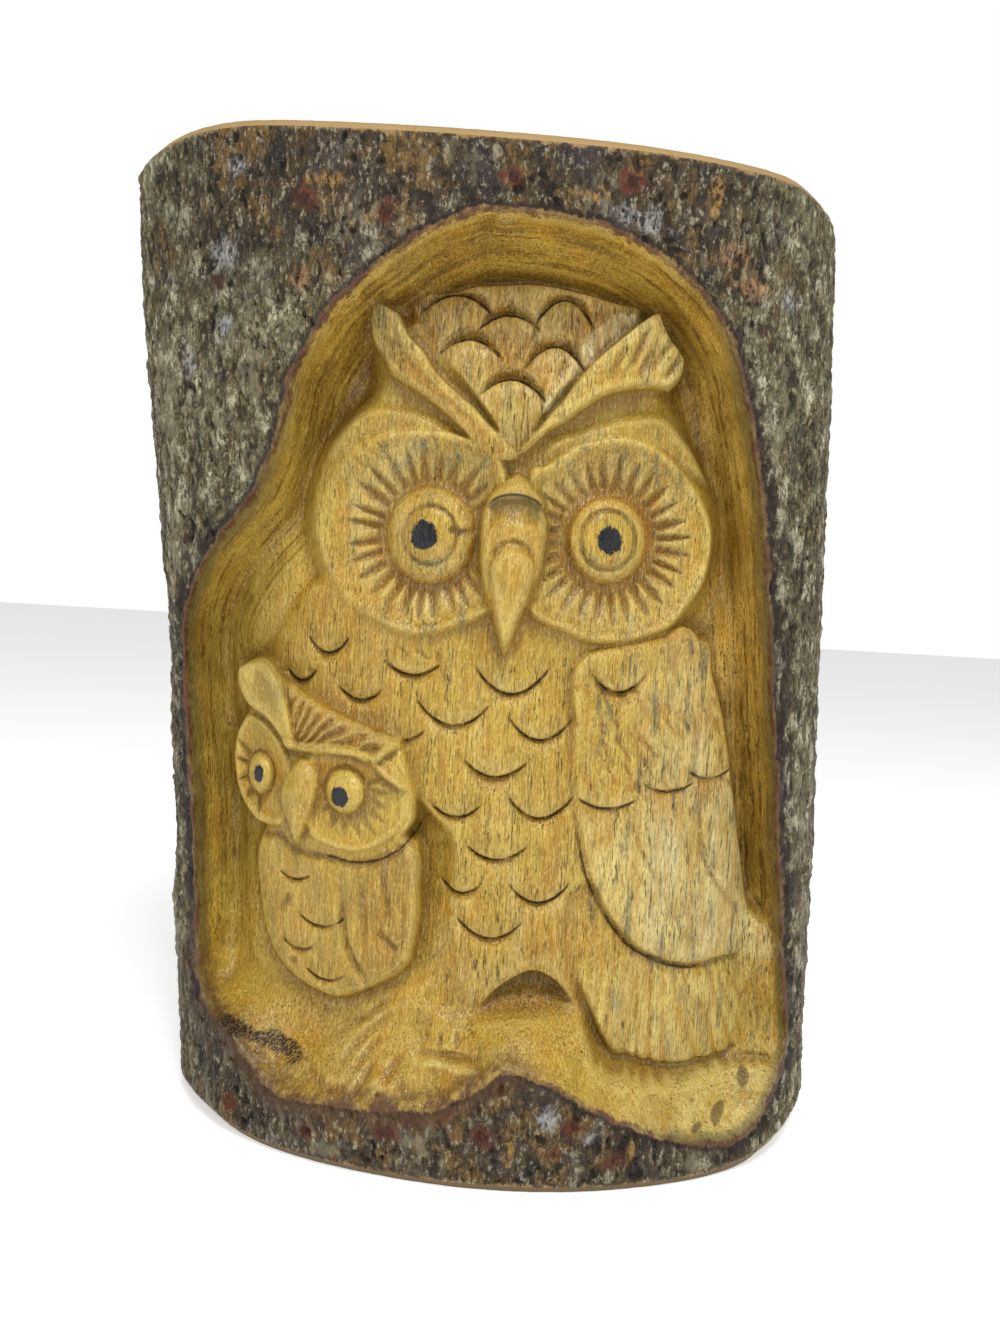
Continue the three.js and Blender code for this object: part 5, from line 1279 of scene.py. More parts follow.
def weathered_surface(side_material, end_material):
    """A node tree that roughens bark and cut wood and gives each face its material."""
    tree = bpy.data.node_groups.new("weathered_surface", "GeometryNodeTree")
    face = tree.interface
    face.new_socket("Geometry", in_out="INPUT", socket_type="NodeSocketGeometry")
    for name in ("Bark grain", "Wood fibre", "Saw marks"):
        face.new_socket(name, in_out="INPUT", socket_type="NodeSocketFloat")
    face.new_socket("Geometry", in_out="OUTPUT", socket_type="NodeSocketGeometry")
    n = Nodes(tree)
    given = n.add("NodeGroupInput")
    place = n.add("GeometryNodeInputPosition").outputs[0]
    normal = n.add("GeometryNodeInputNormal").outputs[0]

    def known(name):
        """A value that the mesh carries."""
        return n.add("GeometryNodeInputNamedAttribute", {"Name": name},
                     data_type="FLOAT").outputs[0]

    on_side = n.step(known("rim"), 0.0, 1.5)
    bark = n.step(known("edge"), 0.8, -0.4)
    grain = n.noise(place, (0.9, 0.9, 2.6), 3.0, 0.6, 1.0)
    fibre = n.noise(place, (0.55, 0.55, 6.0), 2.0, 0.5, 2.0)
    saw = n.noise(place, (0.8, 14.0, 5.0), 2.0, 0.5, 3.0)
    bark_part = n.times(n.less(grain, 0.5), given.outputs["Bark grain"])
    wood_part = n.times(n.less(fibre, 0.5), given.outputs["Wood fibre"])
    saw_part = n.times(n.less(saw, 0.5), given.outputs["Saw marks"])
    wood_part = n.times(wood_part, n.less(1.0, bark))
    side_part = n.times(n.plus(n.times(bark_part, bark), wood_part), on_side)
    end_part = n.times(saw_part, n.step(known("rim"), -0.4, -0.9))
    amount = n.plus(side_part, end_part)
    shift = n.add("ShaderNodeVectorMath", {0: normal, 3: amount}, operation="SCALE")
    moved = n.add("GeometryNodeSetPosition", {"Geometry": given.outputs["Geometry"],
                  "Offset": shift.outputs[0]})
    whole = n.add("GeometryNodeRealizeInstances", {0: moved.outputs[0]})
    on_end = n.add("FunctionNodeCompare", {0: known("side_face"), 1: 0.5},
                   data_type="FLOAT", operation="LESS_THAN").outputs[0]
    sides = n.add("GeometryNodeSetMaterial", {"Geometry": whole.outputs[0]})
    sides.inputs["Material"].default_value = side_material
    ends = n.add("GeometryNodeSetMaterial", {"Geometry": sides.outputs[0],
                 "Selection": on_end})
    ends.inputs["Material"].default_value = end_material
    result = n.add("NodeGroupOutput")
    tree.links.new(ends.outputs[0], result.inputs[0])
    return tree


def new_material(name):
    """An empty material with its shader, and the place on the object."""
    material = bpy.data.materials.new(name)
    material.use_nodes = True
    tree = material.node_tree
    tree.nodes.clear()
    n = Nodes(tree)
    shader = n.add("ShaderNodeBsdfPrincipled")
    output = n.add("ShaderNodeOutputMaterial")
    tree.links.new(shader.outputs[0], output.inputs[0])
    place = n.add("ShaderNodeTexCoord").outputs["Object"]
    return material, n, shader, place


def spot(n, place, x, z, half_x, half_z, turn=0.0, soft=0.35, wobble=None, amount=0.25):
    """A patch on the front of the log, 1 in its middle and 0 outside."""
    mapped = n.add("ShaderNodeMapping", {"Vector": place}, vector_type="TEXTURE")
    mapped.inputs["Location"].default_value = (x * MM, 0, z * MM)
    mapped.inputs["Rotation"].default_value = (0, math.radians(turn), 0)
    mapped.inputs["Scale"].default_value = (half_x * MM, 1e6, half_z * MM)
    far = n.add("ShaderNodeVectorMath", {0: mapped.outputs[0]}, operation="LENGTH").outputs[1]
    if wobble is not None:
        far = n.plus(far, n.times(n.less(wobble, 0.5), 4 * amount))
    return n.step(far, 1.0, 1.0 - soft)


def patches(n, name, soft, wobble, amount):
    """Patches of one kind, 1 in the middle of each and 0 outside, with uneven outlines."""
    far = n.plus(attribute(n, name), n.times(n.less(wobble, 0.5), 4 * amount))
    return n.step(far, 1.0, 1.0 - soft)


def attribute(n, name, output="Fac"):
    """A value that the mesh carries."""
    return n.add("ShaderNodeAttribute", attribute_name=name).outputs[output]


def most(n, values):
    """The greatest of several values."""
    total = values[0]
    for value in values[1:]:
        total = n.math("MAXIMUM", total, value)
    return total


# Places on the front of the bark and the wood, as (x, z, half width, half height, turn)
RUST_KNOTS = [(-34.1, 186.7, 3.4, 3.2, 10), (-18.5, 184.3, 3.2, 2.6, 0), (4.5, 191, 3.4, 2.8, 0),
              (26.6, 192.3, 3.2, 3.2, 0), (-10.3, 10, 3.4, 2.8, 0), (8.7, 10.8, 3.6, 2.8, 0),
              (-26.8, 6.8, 3.2, 2.2, 0), (-44.8, 6.9, 2.4, 2.4, 0), (1.5, 15.2, 3, 2, 0),
              (11.6, 20.6, 3.6, 2.2, 0), (26.3, 13.6, 2.8, 2.2, 0), (34.8, 6.1, 3.6, 2.6, 0),
              (22.2, 8.1, 3.2, 2, 0), (-33, 14, 4, 1.6, 10), (-5, 13, 6, 1.6, -8)]
LICHEN = [(-49.3, 194, 4, 2.4, 10), (-51.2, 178.6, 4, 5, 0), (-50.7, 163.9, 2.6, 3.6, 0),
          (-58.2, 157.9, 3, 4, 0), (28.6, 185.3, 7, 3.4, 10), (21.4, 15.2, 3.4, 3.6, 0),
          (29.6, 11, 3.4, 3.6, 20), (60, 176, 4, 3, 0)]
SALMON = [(-34.1, 172.3, 3.4, 3, 0), (47, 182, 6, 3.4, -20), (52, 177, 4, 3, 0)]
TAN_STREAKS = [(42.7, 191.6, 2.4, 5.5, 8), (13.8, 9.3, 1.3, 6, 0), (37.7, 7.8, 1.6, 3.6, 10),
               (-58, 40, 2.5, 14, 0), (-30, 190, 7, 2, 5), (20, 189, 5, 2, 0)]
DARK_OVALS = [(62.5, 15.4, 1.5, 1.9, 20), (56.2, 10.9, 2.5, 1.6, -38), (51.3, 10, 1.5, 1.1, -30),
              (67.7, 6.5, 1.3, 2.2, 10)]
CHARRED = [(-43.5, 22.4, 9.5, 1.8, 12), (-33.5, 19.8, 7.5, 2.8, 20)]
WING_STAINS = [(-7.6, 32.2, 3, 2, 0), (-17.1, 18.1, 2.6, 2, 40), (8.2, 32.4, 2.2, 1.8, 0),
               (37.8, 83.4, 1.6, 5, 20), (49.3, 74.6, 1.6, 6, 25), (48.5, 53.7, 2, 6, 30),
               (38, 95.5, 1.8, 4, 15), (51, 76.5, 1.2, 3, 20), (27.3, 87.4, 1.1, 5, 10),
               (34.7, 34, 1.3, 4, 8), (47.6, 34.4, 1.5, 4, 0), (52.7, 29.1, 1.4, 3.6, -8),
               (59.6, 37.9, 1.2, 4, -12)]
PATCHES = {"rust": RUST_KNOTS, "lichen": LICHEN, "salmon": SALMON, "tan": TAN_STREAKS,
           "ovals": DARK_OVALS, "charred": CHARRED, "wing_stains": WING_STAINS}


class LogSurface:
    """What the colours of wood and bark read: the carving's own fields and shared noises."""

    FIELDS = ("edge", "groove", "hollow", "grey", "pores", "ground", "knife", "knife_near",
              "rim", "stand")

    def __init__(self, n, place):
        self.n, self.place = n, place
        for name in self.FIELDS:
            setattr(self, name, attribute(n, name))
        self.tone = attribute(n, "tone", "Color")
        self.x, self.y, self.z = n.add("ShaderNodeSeparateXYZ", {0: place}).outputs
        self.front = n.step(self.y, 0.01, -0.01)
        self.patchy = n.noise(place, (9, 9, 14), 2.0, 0.6, 11.0)
        self.blotch = n.noise(place, (3.2, 3.2, 4.5), 3.0, 0.62, 12.0)
        self.fleck = n.noise(place, (0.8, 0.8, 1.0), 2.0, 0.6, 13.0)
        self.fibre = n.noise(place, (0.45, 0.9, 7.0), 2.0, 0.55, 14.0)
        self.streak = n.noise(place, (1.6, 2.5, 22.0), 2.0, 0.55, 15.0)
        self.tooth = n.noise(place, (0.34, 0.34, 0.9), 1.0, 0.6, 32.0)
        self.grain = n.noise(place, (1.1, 1.1, 1.9), 3.0, 0.75, 21.0)
        self.thread = n.noise(place, (0.6, 0.6, 3.6), 2.0, 0.65, 22.0)
        self.scale = n.noise(place, (4.2, 4.2, 6.0), 5.0, 0.72, 23.0)
        self.open_pore = self.pores_in_wood()
        self.keen = self.knife_cuts()

    def pores_in_wood(self):
        """Open pores, long and narrow, bunched along some streaks."""
        n = self.n
        pore = n.noise(self.place, (0.24, 0.7, 2.9), 1.5, 0.5, 16.0)
        self.bunched = n.step(self.streak, 0.40, 0.62, 0.25, 1.0)
        return n.times(n.step(pore, 0.60, 0.66), n.times(self.pores, self.bunched))

    def knife_cuts(self):
        """The crisp dark line of a knife cut, a little ragged."""
        n = self.n
        off = n.plus(n.math("ABSOLUTE", self.knife), n.times(self.fleck, 0.3))
        line = n.times(n.step(off, 0.46, 0.24), n.step(self.blotch, 0.34, 0.50, 0.35, 1.0))
        return n.times(line, n.step(self.knife_near, 0.30, 0.75))


def flow_over_ground(s):
    """Streaks that follow the gouge round the recess, on the bare ground only."""
    n = s.n
    flow = n.add("ShaderNodeCombineXYZ", {0: n.times(s.edge, 1.9), 1: n.times(s.x, 42.0),
                                          2: n.times(s.z, 42.0)}).outputs[0]
    flow = n.add("ShaderNodeTexNoise", {"Vector": flow, "Scale": 1.0, "Detail": 3.0,
                                        "Roughness": 0.6}).outputs[0]
    here = n.times(s.ground, n.times(n.step(s.z, 0.030, 0.050), n.step(s.edge, 17.0, 11.0)))
    return flow, here


def bare_wood(s):
    """The carving's own tone with fibres, pores and gouge streaks, painted highlight on ridges,
    painted shade in grooves and hollows, and dark knife cuts.
    """
    n, place = s.n, s.place
    wood = n.layered(s.tone, (
        (s.streak, 0.36, 0.58, 0.42, 0.0, tint(148, 106, 32)),
        (s.fibre, 0.44, 0.72, 0.0, 0.35, tint(212, 184, 100)),
        (s.fibre, 0.46, 0.28, 0.0, 0.40, tint(128, 92, 30)),
        (s.blotch, 0.50, 0.70, 0.0, 0.45, tint(158, 116, 30)),
        (s.patchy, 0.50, 0.36, 0.0, 0.35, tint(150, 124, 52))))
    line = n.noise(place, (0.28, 0.6, 9.0), 1.0, 0.5, 19.0)
    fine = n.times(n.step(line, 0.60, 0.68), n.times(s.pores, s.bunched, 0.6))
    flow, on_ground = flow_over_ground(s)
    dark_flow = n.times(n.step(flow, 0.535, 0.60),
                        n.times(on_ground, n.step(s.blotch, 0.40, 0.58, 0.25, 0.80)))
    pale_flow = n.times(n.step(flow, 0.46, 0.38), n.times(on_ground, 0.50))
    # painted highlight on ridges, painted shade in fine grooves and in broad hollows (weaker on the
    # bare ground)
    ridge_highlight = n.times(n.step(s.groove, -0.06, -0.45), 0.28)
    groove_shade = n.times(n.step(s.groove, 0.05, 0.60), 0.42)
    hollow_shade = n.times(n.step(s.hollow, 0.4, 3.2), n.step(s.blotch, 0.35, 0.65, 0.10, 0.40),
                   n.step(s.ground, 0.0, 1.0, 1.0, 0.4))
    for amount, colour in ((fine, tint(92, 66, 26)),
                           (n.times(s.open_pore, 0.85), tint(56, 38, 16)),
                           (dark_flow, tint(84, 56, 16)), (pale_flow, tint(186, 152, 68)),
                           (ridge_highlight, tint(214, 190, 116)), (groove_shade, tint(100, 66, 18)),
                           (hollow_shade, tint(122, 84, 20)),
                           (n.times(grey_smudges(s), 0.85), tint(90, 86, 62)),
                           (dark_specks(s), tint(78, 52, 18)),
                           (n.step(s.tooth, 0.52, 0.68, 0.0, 0.30), tint(116, 82, 28)),
                           (n.step(s.tooth, 0.46, 0.32, 0.0, 0.24), tint(222, 200, 130)),
                           (n.times(s.keen, 0.85), tint(42, 28, 13))):
        wood = n.blend(amount, wood, colour)
    richer = n.add("ShaderNodeHueSaturation", {"Saturation": 1.03, "Value": 0.97, "Color": wood})
    return richer.outputs[0]


def grey_smudges(s):
    """Grey weathering in the open grain, and in the places on wing and tail that show it."""
    n = s.n
    along_grain = n.times(n.step(s.streak, 0.46, 0.60),
                          n.step(n.noise(s.place, (2.2, 3.0, 9.0), 2.0, 0.6, 17.0), 0.42, 0.68))
    stains = patches(n, "wing_stains", 0.9, s.blotch, 0.3)
    return n.math("MAXIMUM", n.times(along_grain, s.grey),
                  n.times(n.times(stains, s.grey), n.step(s.fibre, 0.35, 0.6, 0.3, 1.0)))


def dark_specks(s):
    """Small dark specks, crowded in some places."""
    n = s.n
    dots = n.noise(s.place, (0.55, 0.55, 0.75), 2.0, 0.6, 27.0)
    crowd = n.noise(s.place, (7, 7, 9), 2.0, 0.65, 28.0)
    crowded = n.plus(0.35, n.times(s.ground, 0.65))
    return n.times(n.step(dots, 0.585, 0.64), n.step(crowd, 0.42, 0.60, 0.15, 0.85), crowded)


def marked_wood(s, wood):
    """The scooped crescent above the beak, the painted pupils and the dark ovals."""
    n, place = s.n, s.place
    scoop = spot(n, place, 8.2, 131.9, 5.4, 2.6, 0, 0.12)
    below = spot(n, place, 8.2, 128.7, 6.0, 2.7, 0, 0.35)
    under_lip = spot(n, place, 8.2, 131.5, 5.1, 2.45, 0, 0.1)
    crescent = n.times(scoop, n.less(1.0, below))
    # painted shadow along the top edge of the scoop
    lip = n.times(n.less(1.0, under_lip), n.times(scoop, n.step(s.z, 0.1316, 0.1328)))
    pupil = most(n, [spot(n, place, *eye["pupil"], soft=0.16, wobble=s.fleck, amount=0.16)
                     for eye in (LEFT_EYE, RIGHT_EYE, *OWLET_EYES)])
    ovals = patches(n, "ovals", 0.3, s.fleck, 0.12)
    for amount, colour in ((n.times(crescent, 0.62), tint(104, 84, 34)),
                           (n.times(lip, 0.85), tint(44, 34, 18)), (pupil, PUPIL_BLACK),
                           (n.times(ovals, 0.72), tint(74, 58, 30))):
        wood = n.blend(amount, wood, colour)
    return wood, pupil


def burnt_streak(s):
    """The scorched streak at the lower left: a brown haze and fine dark specks in it."""
    n = s.n
    slant = n.add("ShaderNodeMapping", {"Vector": s.place})
    slant.inputs["Rotation"].default_value = (0, math.radians(-35), 0)
    hatch = n.noise(slant.outputs[0], (0.42, 0.42, 1.1), 2.0, 0.6, 18.0)
    charred = patches(n, "charred", 0.9, s.blotch, 0.3)
    scorched = n.step(charred, 0.0, 0.7, 0.0, 0.60)
    specks = n.step(n.plus(hatch, n.times(charred, 0.12)), 0.52, 0.62)
    return scorched, n.times(n.step(charred, 0.05, 0.5), specks)


def dry_bark(s):
    """Bark: grey-beige at the sides, slate above and below, with pits, rust and lichen."""
    n, place, front = s.n, s.place, s.front
    hue = n.noise(place, (11, 11, 14), 3.0, 0.68, 24.0)
    wander = n.add("ShaderNodeVectorMath", {0: n.noise_vector(place, 2.6), 3: 0.0022},
                   operation="SCALE").outputs[0]
    bent = n.add("ShaderNodeVectorMath", {0: place, 1: wander}, operation="ADD").outputs[0]
    crack = n.cells(bent, (3.2, 3.2, 5.5), "DISTANCE_TO_EDGE")
    band = n.math("MAXIMUM", n.step(s.z, 0.164, 0.184), n.step(s.z, 0.040, 0.020))
    near_front = n.step(n.math("ABSOLUTE", n.plus(s.x, n.times(n.less(hue, 0.417), 0.06))),
                        0.072, 0.042)
    dark = n.times(band, near_front, front)
    dark = n.math("ADD", n.times(dark, 0.95), n.times(n.step(hue, 0.50, 0.62), 0.35),
                  clamp=True)
    light = n.blend(n.step(s.scale, 0.40, 0.50), tint(50, 42, 26), tint(108, 102, 72))
    light = n.layered(light, (
        (s.scale, 0.52, 0.61, 0.0, 1.0, tint(182, 176, 148)),
        (hue, 0.48, 0.40, 0.0, 0.45, tint(84, 84, 60))))
    slate = n.blend(n.step(s.scale, 0.41, 0.52), tint(24, 19, 15), tint(64, 50, 33))
    slate = n.blend(n.step(s.scale, 0.56, 0.64), slate, tint(122, 114, 96))
    slate = n.blend(n.times(n.step(hue, 0.52, 0.58), n.step(s.blotch, 0.40, 0.55)), slate,
                    tint(108, 84, 42))
    slate = n.blend(n.step(hue, 0.47, 0.40, 0.0, 0.65), slate, tint(52, 46, 50))
    bark = n.layered(n.blend(dark, light, slate), (
        (s.blotch, 0.52, 0.64, 0.0, 0.55, tint(88, 66, 34)),
        (s.grain, 0.54, 0.66, 0.0, 0.60, tint(168, 160, 132)),
        (s.grain, 0.46, 0.36, 0.0, 0.75, tint(42, 33, 20)),
        (s.thread, 0.54, 0.66, 0.0, 0.75, tint(38, 30, 19)),
        (crack, 0.05, 0.0, 0.0, 0.70, tint(30, 22, 14)),
        (s.stand, -0.15, -0.60, 0.0, 0.85, tint(24, 18, 11)),
        (s.stand, 0.35, 0.80, 0.0, 0.35, tint(152, 144, 114))))
    for name, colour, strength, soft in (
            ("lichen", tint(158, 160, 158), 0.85, 1.0), ("salmon", tint(160, 112, 70), 0.65, 0.8),
            ("tan", tint(146, 112, 48), 0.80, 0.9)):
        shown = n.times(patches(n, name, soft, s.blotch, 0.5), front, strength)
        bark = n.blend(n.times(shown, n.step(s.grain, 0.42, 0.56, 0.05, 1.0)), bark, colour)
    rust = n.times(patches(n, "rust", 0.8, s.blotch, 0.55), front)
    rust_core = n.times(n.step(rust, 0.60, 0.95), n.step(s.blotch, 0.38, 0.52, 0.3, 0.90))
    knot = n.times(spot(n, place, -52.2, 172.9, 2.2, 3.0, 0, 0.6, s.fleck, 0.3), front)
    frayed = n.plus(s.rim, n.times(n.less(s.scale, 0.44), 6.0))
    for amount, colour in ((n.times(rust, n.step(s.scale, 0.36, 0.52, 0.60, 1.0)),
                            tint(96, 46, 22)),
                           (rust_core, tint(40, 19, 12)), (knot, tint(62, 40, 24)),
                           (n.step(frayed, 0.9, 0.1, 0.0, 0.60), tint(176, 144, 96))):
        bark = n.blend(amount, bark, colour)
    return bark


def edge_of_bark(s, wood, bark):
    """The cut edge of the bark: dark red-brown, then a thin green-grey layer."""
    n = s.n
    border = n.plus(s.edge, n.times(n.less(s.fleck, 0.5), 1.2))
    border = n.plus(border, n.times(n.less(s.blotch, 0.5), 1.6))
    side = n.step(n.math("ABSOLUTE", n.less(s.x, 0.004)), 0.030, 0.048)
    foot = n.times(n.step(s.z, 0.045, 0.028), n.step(s.x, 0.030, 0.005))
    layer = n.times(n.step(border, 2.6, 1.4), side)
    brown = n.times(n.step(border, 4.2, 1.4), foot, n.step(s.scale, 0.38, 0.56, 0.15, 0.95))
    inner = n.times(n.step(border, 1.4, 0.7), n.step(foot, 1.0, 0.0, 0.45, 0.95),
                    n.step(s.scale, 0.40, 0.56, 0.55, 1.0))
    for amount, colour in ((n.times(layer, 0.75), tint(90, 84, 50)), (brown, tint(86, 58, 28)),
                           (inner, tint(76, 42, 24))):
        wood = n.blend(amount, wood, colour)
    sides = n.math("MAXIMUM", n.step(s.x, 0.050, 0.058), n.step(s.x, -0.048, -0.055))
    crust = n.times(n.step(border, -5.5, -1.0), sides, n.step(s.scale, 0.56, 0.46, 0.20, 0.95))
    for amount, colour in ((n.step(border, -1.5, -0.2, 0.0, 0.88), tint(32, 22, 16)),
                           (n.times(n.step(border, -5.0, -1.5), n.times(foot, 0.6)),
                            tint(84, 60, 36)),
                           (crust, tint(38, 27, 22))):
        bark = n.blend(amount, bark, colour)
    is_bark = n.step(border, 0.3, -0.3)
    return n.blend(is_bark, wood, bark), is_bark


YEAR_RING = 0.0031
END_CHECKS = 10
PUPIL_BLACK = (0.006, 0.007, 0.009)
PUPIL_ROUGHNESS = 0.16


def log_material():
    """Bark and carved wood of the log's side: varnished wood inside, dry bark outside."""
    material, n, shader, place = new_material("bark_and_carved_wood")
    s = LogSurface(n, place)
    wood, pupil = marked_wood(s, bare_wood(s))
    scorched, charred = burnt_streak(s)
    colour, is_bark = edge_of_bark(s, wood, dry_bark(s))
    colour = n.blend(scorched, colour, tint(70, 48, 18))
    colour = n.blend(n.times(charred, 0.9), colour, tint(12, 9, 5))
    n.feed(shader.inputs["Base Color"], colour)

    gloss = n.step(n.noise(place, (4, 4, 7), 1.0, 0.6, 31.0), 0.35, 0.65, 0.26, 0.50)
    roughness = n.plus(gloss, n.times(s.open_pore, 0.25))
    dry = n.math("MAXIMUM", is_bark, charred)
    roughness = n.math("ADD", roughness, n.times(dry, 0.50), clamp=True)
    paint_gloss = n.add("ShaderNodeMix", data_type="FLOAT")
    for socket, value in zip((0, 2, 3), (pupil, roughness, PUPIL_ROUGHNESS)):
        n.feed(paint_gloss.inputs[socket], value)
    n.feed(shader.inputs["Roughness"], paint_gloss.outputs[0])

    wood_height = n.plus(n.times(s.fibre, 0.5), n.times(s.open_pore, -0.9))
    bark_height = n.plus(n.times(s.grain, 2.6), n.times(s.thread, -1.8))
    height = n.plus(n.times(wood_height, n.less(1.0, is_bark)), n.times(bark_height, is_bark))
    height = n.plus(height, n.times(s.fleck, 0.35))
    height = n.plus(height, n.times(s.tooth, 0.30))
    height = n.less(height, n.times(s.keen, 0.8))
    relief = n.bump(height, 0.85, 0.0005)
    n.feed(shader.inputs["Normal"], relief)
    n.feed(shader.inputs["Coat Normal"], relief)
    for name, value in (("Specular IOR Level", 0.25), ("Coat Weight", 0.20),
                        ("Coat Roughness", 0.16)):
        shader.inputs[name].default_value = value
    return material


def sawn_end_material():
    """The flat sawn ends: pale wood with year rings, checks and a dark ring of bark."""
    material, n, shader, place = new_material("sawn_end_grain")
    x, y, z = n.add("ShaderNodeSeparateXYZ", {0: place}).outputs
    lean = n.times(z, (AXIS_AT_TOP - AXIS_AT_BASE) / HEIGHT)
    across = n.less(n.less(x, lean), AXIS_AT_BASE * MM)
    radius = n.math("SQRT", n.plus(n.times(across, across), n.times(y, y)))
    wander = n.noise(place, (30, 30, 30), 3.0, 0.5, 41.0)
    ringed = n.plus(radius, n.times(wander, 0.012))
    ring = n.math("SINE", n.times(ringed, 2 * math.pi / YEAR_RING))
    grain = n.noise(place, (0.7, 0.7, 0.7), 3.0, 0.6, 42.0)
    patchy = n.noise(place, (14, 14, 14), 4.0, 0.6, 43.0)
    saw = n.noise(place, (0.9, 22.0, 9.0), 2.0, 0.5, 44.0)
    turn = n.math("ARCTAN2", across, y)
    spoke = n.plus(n.times(turn, END_CHECKS / (2 * math.pi)), n.times(wander, 0.6))
    spoke = n.math("ABSOLUTE", n.less(n.math("FRACT", spoke), 0.5))
    check = n.times(n.step(n.times(spoke, radius), 0.0009, 0.0003),
                    n.step(radius, 0.012, 0.030), n.step(patchy, 0.42, 0.52))
    under = n.plus(attribute(n, "under_bark"), n.times(n.less(grain, 0.5), 1.6))
    dirt = n.times(n.step(z, 0.020, 0.010), n.step(under, 3.5, 1.5))
    colour = n.layered(tint(206, 172, 124), (
        (ring, -0.4, 0.9, 0.0, 0.55, tint(158, 118, 74)),
        (patchy, 0.45, 0.68, 0.0, 0.5, tint(150, 118, 84)),
        (saw, 0.5, 0.7, 0.0, 0.35, tint(128, 98, 66)),
        (grain, 0.55, 0.7, 0.0, 0.35, tint(96, 68, 42))))
    colour = n.blend(n.times(check, 0.85), colour, tint(60, 40, 24))
    colour = n.layered(colour, (
        (under, 5.0, 3.0, 0.0, 1.0, tint(184, 154, 94)),
        (under, 0.9, 0.3, 0.0, 0.60, tint(122, 94, 62))))
    colour = n.blend(n.times(dirt, 0.85), colour, tint(82, 66, 38))
    n.feed(shader.inputs["Base Color"], colour)
    shader.inputs["Roughness"].default_value = 0.8
    height = n.less(n.plus(n.times(ring, 0.15), n.times(grain, 0.8)), n.times(check, 2.5))
    n.feed(shader.inputs["Normal"], n.bump(height, 0.5, 0.0004))
    return material


def evaluated_mesh(piece, name):
    """The mesh as its modifiers leave it."""
    graph = bpy.context.evaluated_depsgraph_get()
    mesh = bpy.data.meshes.new_from_object(piece.evaluated_get(graph),
                                           preserve_all_data_layers=True, depsgraph=graph)
    mesh.name = name
    return mesh


def owl_log():
    """The whole carving: dense skin, weathering and materials, then fewer triangles."""
    side_material = log_material()
    end_material = sawn_end_material()
    dense, side_face = build_log()
    layer = dense.attributes.new("side_face", "FLOAT", "FACE")
    layer.data.foreach_set("value", side_face)
    piece = bpy.data.objects.new("owl_log", dense)
    bpy.context.scene.collection.objects.link(piece)
    surface = piece.modifiers.new("weathered_surface", "NODES")
    surface.node_group = weathered_surface(side_material, end_material)
    sizes = {"Bark grain": 1.1 * MM, "Wood fibre": 0.14 * MM, "Saw marks": 0.25 * MM}
    for item in surface.node_group.interface.items_tree:
        if item.in_out == "INPUT" and item.name in sizes:
            surface[item.identifier] = sizes[item.name]
    thin = piece.modifiers.new("thin", "DECIMATE")
    faces = sum(len(p.vertices) - 2 for p in dense.polygons)
    thin.ratio = MOST_TRIANGLES / faces
    mesh = evaluated_mesh(piece, "owl_log")
    piece.modifiers.clear()
    piece.data = mesh
    bpy.data.meshes.remove(dense)
    if "side_face" in mesh.attributes:
        mesh.attributes.remove(mesh.attributes["side_face"])
    mesh.shade_smooth()
    print("owl_log:", len(mesh.vertices), "points", len(mesh.polygons), "faces",
          [m.name for m in mesh.materials])
    return piece


def add_floor():
    """A wide pale floor that glows a little, so it fades into the white backdrop."""
    half = 3.0
    mesh = bpy.data.meshes.new("pale_floor")
    mesh.from_pydata([(-half, -half, 0), (half, -half, 0), (half, half, 0), (-half, half, 0)],
                     [], [(0, 1, 2, 3)])
    floor = bpy.data.objects.new("pale_floor", mesh)
    material = bpy.data.materials.new("pale_floor")
    material.use_nodes = True
    shader = material.node_tree.nodes["Principled BSDF"]
    shader.inputs["Base Color"].default_value = (0.80, 0.80, 0.80, 1)
    shader.inputs["Roughness"].default_value = 0.9
    shader.inputs["Emission Color"].default_value = (1, 1, 1, 1)
    shader.inputs["Emission Strength"].default_value = 0.5
    mesh.materials.append(material)
    bpy.context.scene.collection.objects.link(floor)


# Lights as (name, place, size, watts), all aimed at the middle of the log
LIGHTS = [("key_light", (0.14, -0.66, 1.02), (0.42, 0.36), 10.3),
          ("fill_light", (-0.9, -0.7, 0.35), (0.8, 0.8), 3.2),
          ("right_light", (1.0, -0.6, 0.3), (0.8, 0.8), 2.4),
          ("glint_light", (0.12, -0.70, 0.45), (0.05, 0.05), 0.9)]
LIT_POINT = (0, 0, 0.1)
ROOM_LIGHT = 0.33


def add_light(name, place, size, power):
    """A rectangular lamp that faces the log."""
    data = bpy.data.lights.new(name, "AREA")
    data.shape = "RECTANGLE"
    data.size, data.size_y = size
    data.energy = power
    light = bpy.data.objects.new(name, data)
    light.location = place
    aim = Vector(LIT_POINT) - Vector(place)
    light.rotation_euler = aim.to_track_quat("-Z", "Y").to_euler()
    bpy.context.scene.collection.objects.link(light)


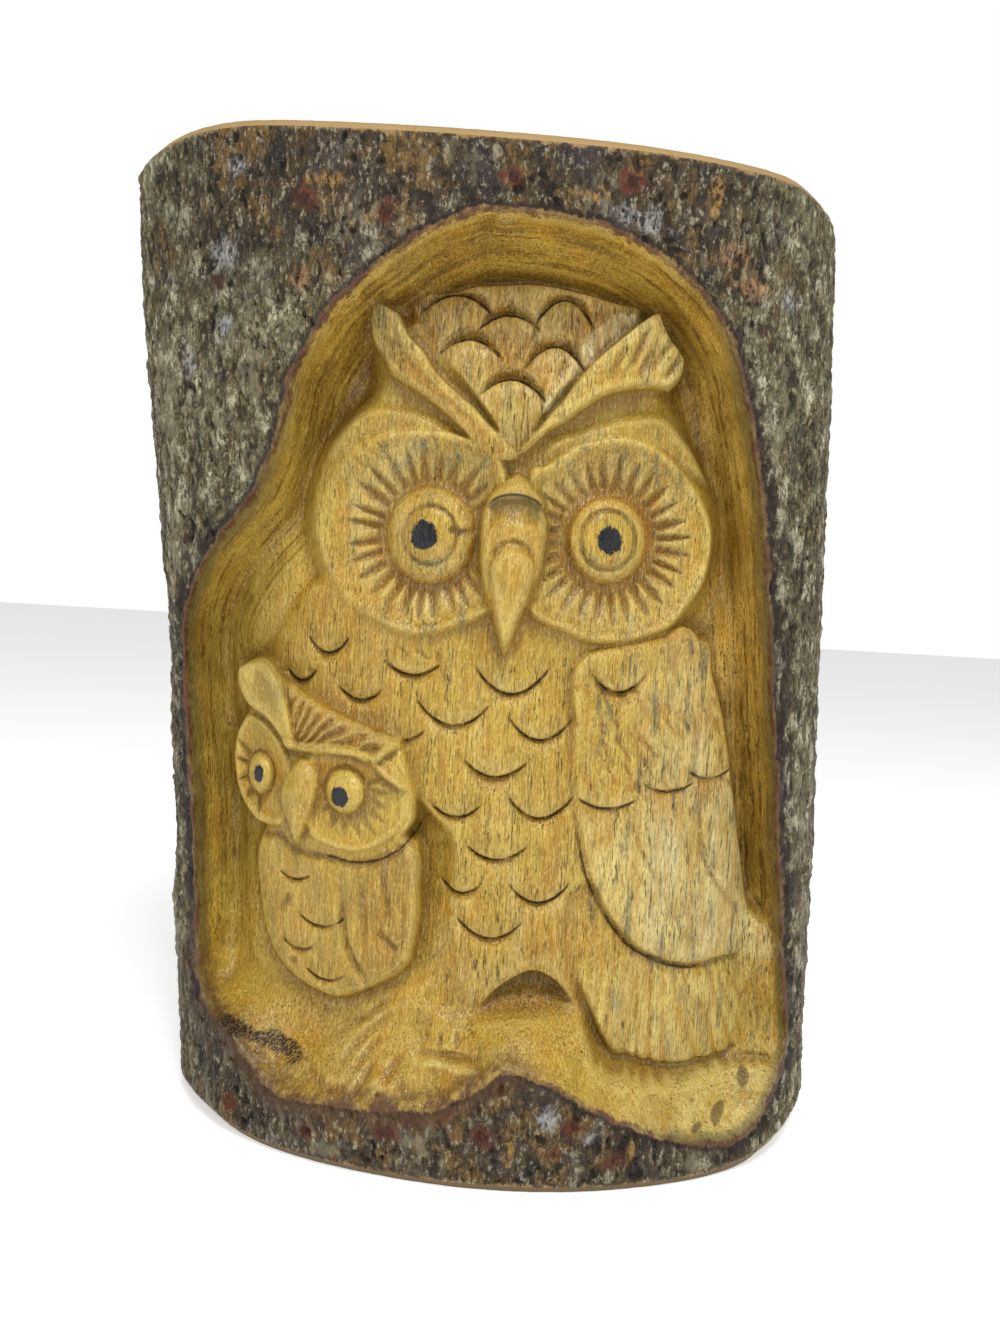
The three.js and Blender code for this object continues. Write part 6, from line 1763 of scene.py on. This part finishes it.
def add_studio():
    """A soft white room: the backdrop shows white, and the light comes mostly from above."""
    world = bpy.data.worlds.new("soft_white_room")
    world.use_nodes = True
    tree = world.node_tree
    lit = tree.nodes["Background"]
    lit.inputs[0].default_value = (1, 1, 1, 1)
    lit.inputs[1].default_value = ROOM_LIGHT
    shown = tree.nodes.new("ShaderNodeBackground")
    shown.inputs[0].default_value = (1, 1, 1, 1)
    rays = tree.nodes.new("ShaderNodeLightPath")
    mix = tree.nodes.new("ShaderNodeMixShader")
    tree.links.new(rays.outputs["Is Camera Ray"], mix.inputs[0])
    tree.links.new(lit.outputs[0], mix.inputs[1])
    tree.links.new(shown.outputs[0], mix.inputs[2])
    tree.links.new(mix.outputs[0], tree.nodes["World Output"].inputs[0])
    bpy.context.scene.world = world
    bpy.context.scene.view_settings.view_transform = "Standard"
    for light in LIGHTS:
        add_light(*light)


# The camera: angles in degrees, place in metres, focal length in heights of the picture
CAMERA_PITCH, CAMERA_ROLL, CAMERA_YAW = 3.44, 3.2, -1.83
CAMERA_PLACE = (0.0158, -0.3442, 0.1179)
FOCAL_LENGTH = 1444 / 1333
FILM_SIDE = 36


def add_camera():
    """Close to the carving, a little right of it, level with the owl's face."""
    pitch, roll, yaw = (math.radians(a) for a in (CAMERA_PITCH, CAMERA_ROLL, CAMERA_YAW))
    turn = Matrix(((math.cos(yaw), -math.sin(yaw), 0), (math.sin(yaw), math.cos(yaw), 0),
                   (0, 0, 1)))
    nod = Matrix(((1, 0, 0), (0, math.cos(pitch), -math.sin(pitch)),
                  (0, math.sin(pitch), math.cos(pitch))))
    tilt = Matrix(((math.cos(roll), 0, math.sin(roll)), (0, 1, 0),
                   (-math.sin(roll), 0, math.cos(roll))))
    right, ahead, up = (Vector(row) for row in (tilt @ nod @ turn))
    data = bpy.data.cameras.new("camera")
    data.sensor_width = FILM_SIDE
    data.lens = FILM_SIDE * FOCAL_LENGTH
    data.clip_start = 0.01
    camera = bpy.data.objects.new("camera", data)
    camera.matrix_world = Matrix((
        (right.x, up.x, -ahead.x, CAMERA_PLACE[0]), (right.y, up.y, -ahead.y, CAMERA_PLACE[1]),
        (right.z, up.z, -ahead.z, CAMERA_PLACE[2]), (0, 0, 0, 1)))
    bpy.context.scene.collection.objects.link(camera)
    bpy.context.scene.camera = camera


add_camera()
add_studio()
add_floor()
log = owl_log()
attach(log, "root")
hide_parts("owl_carving")
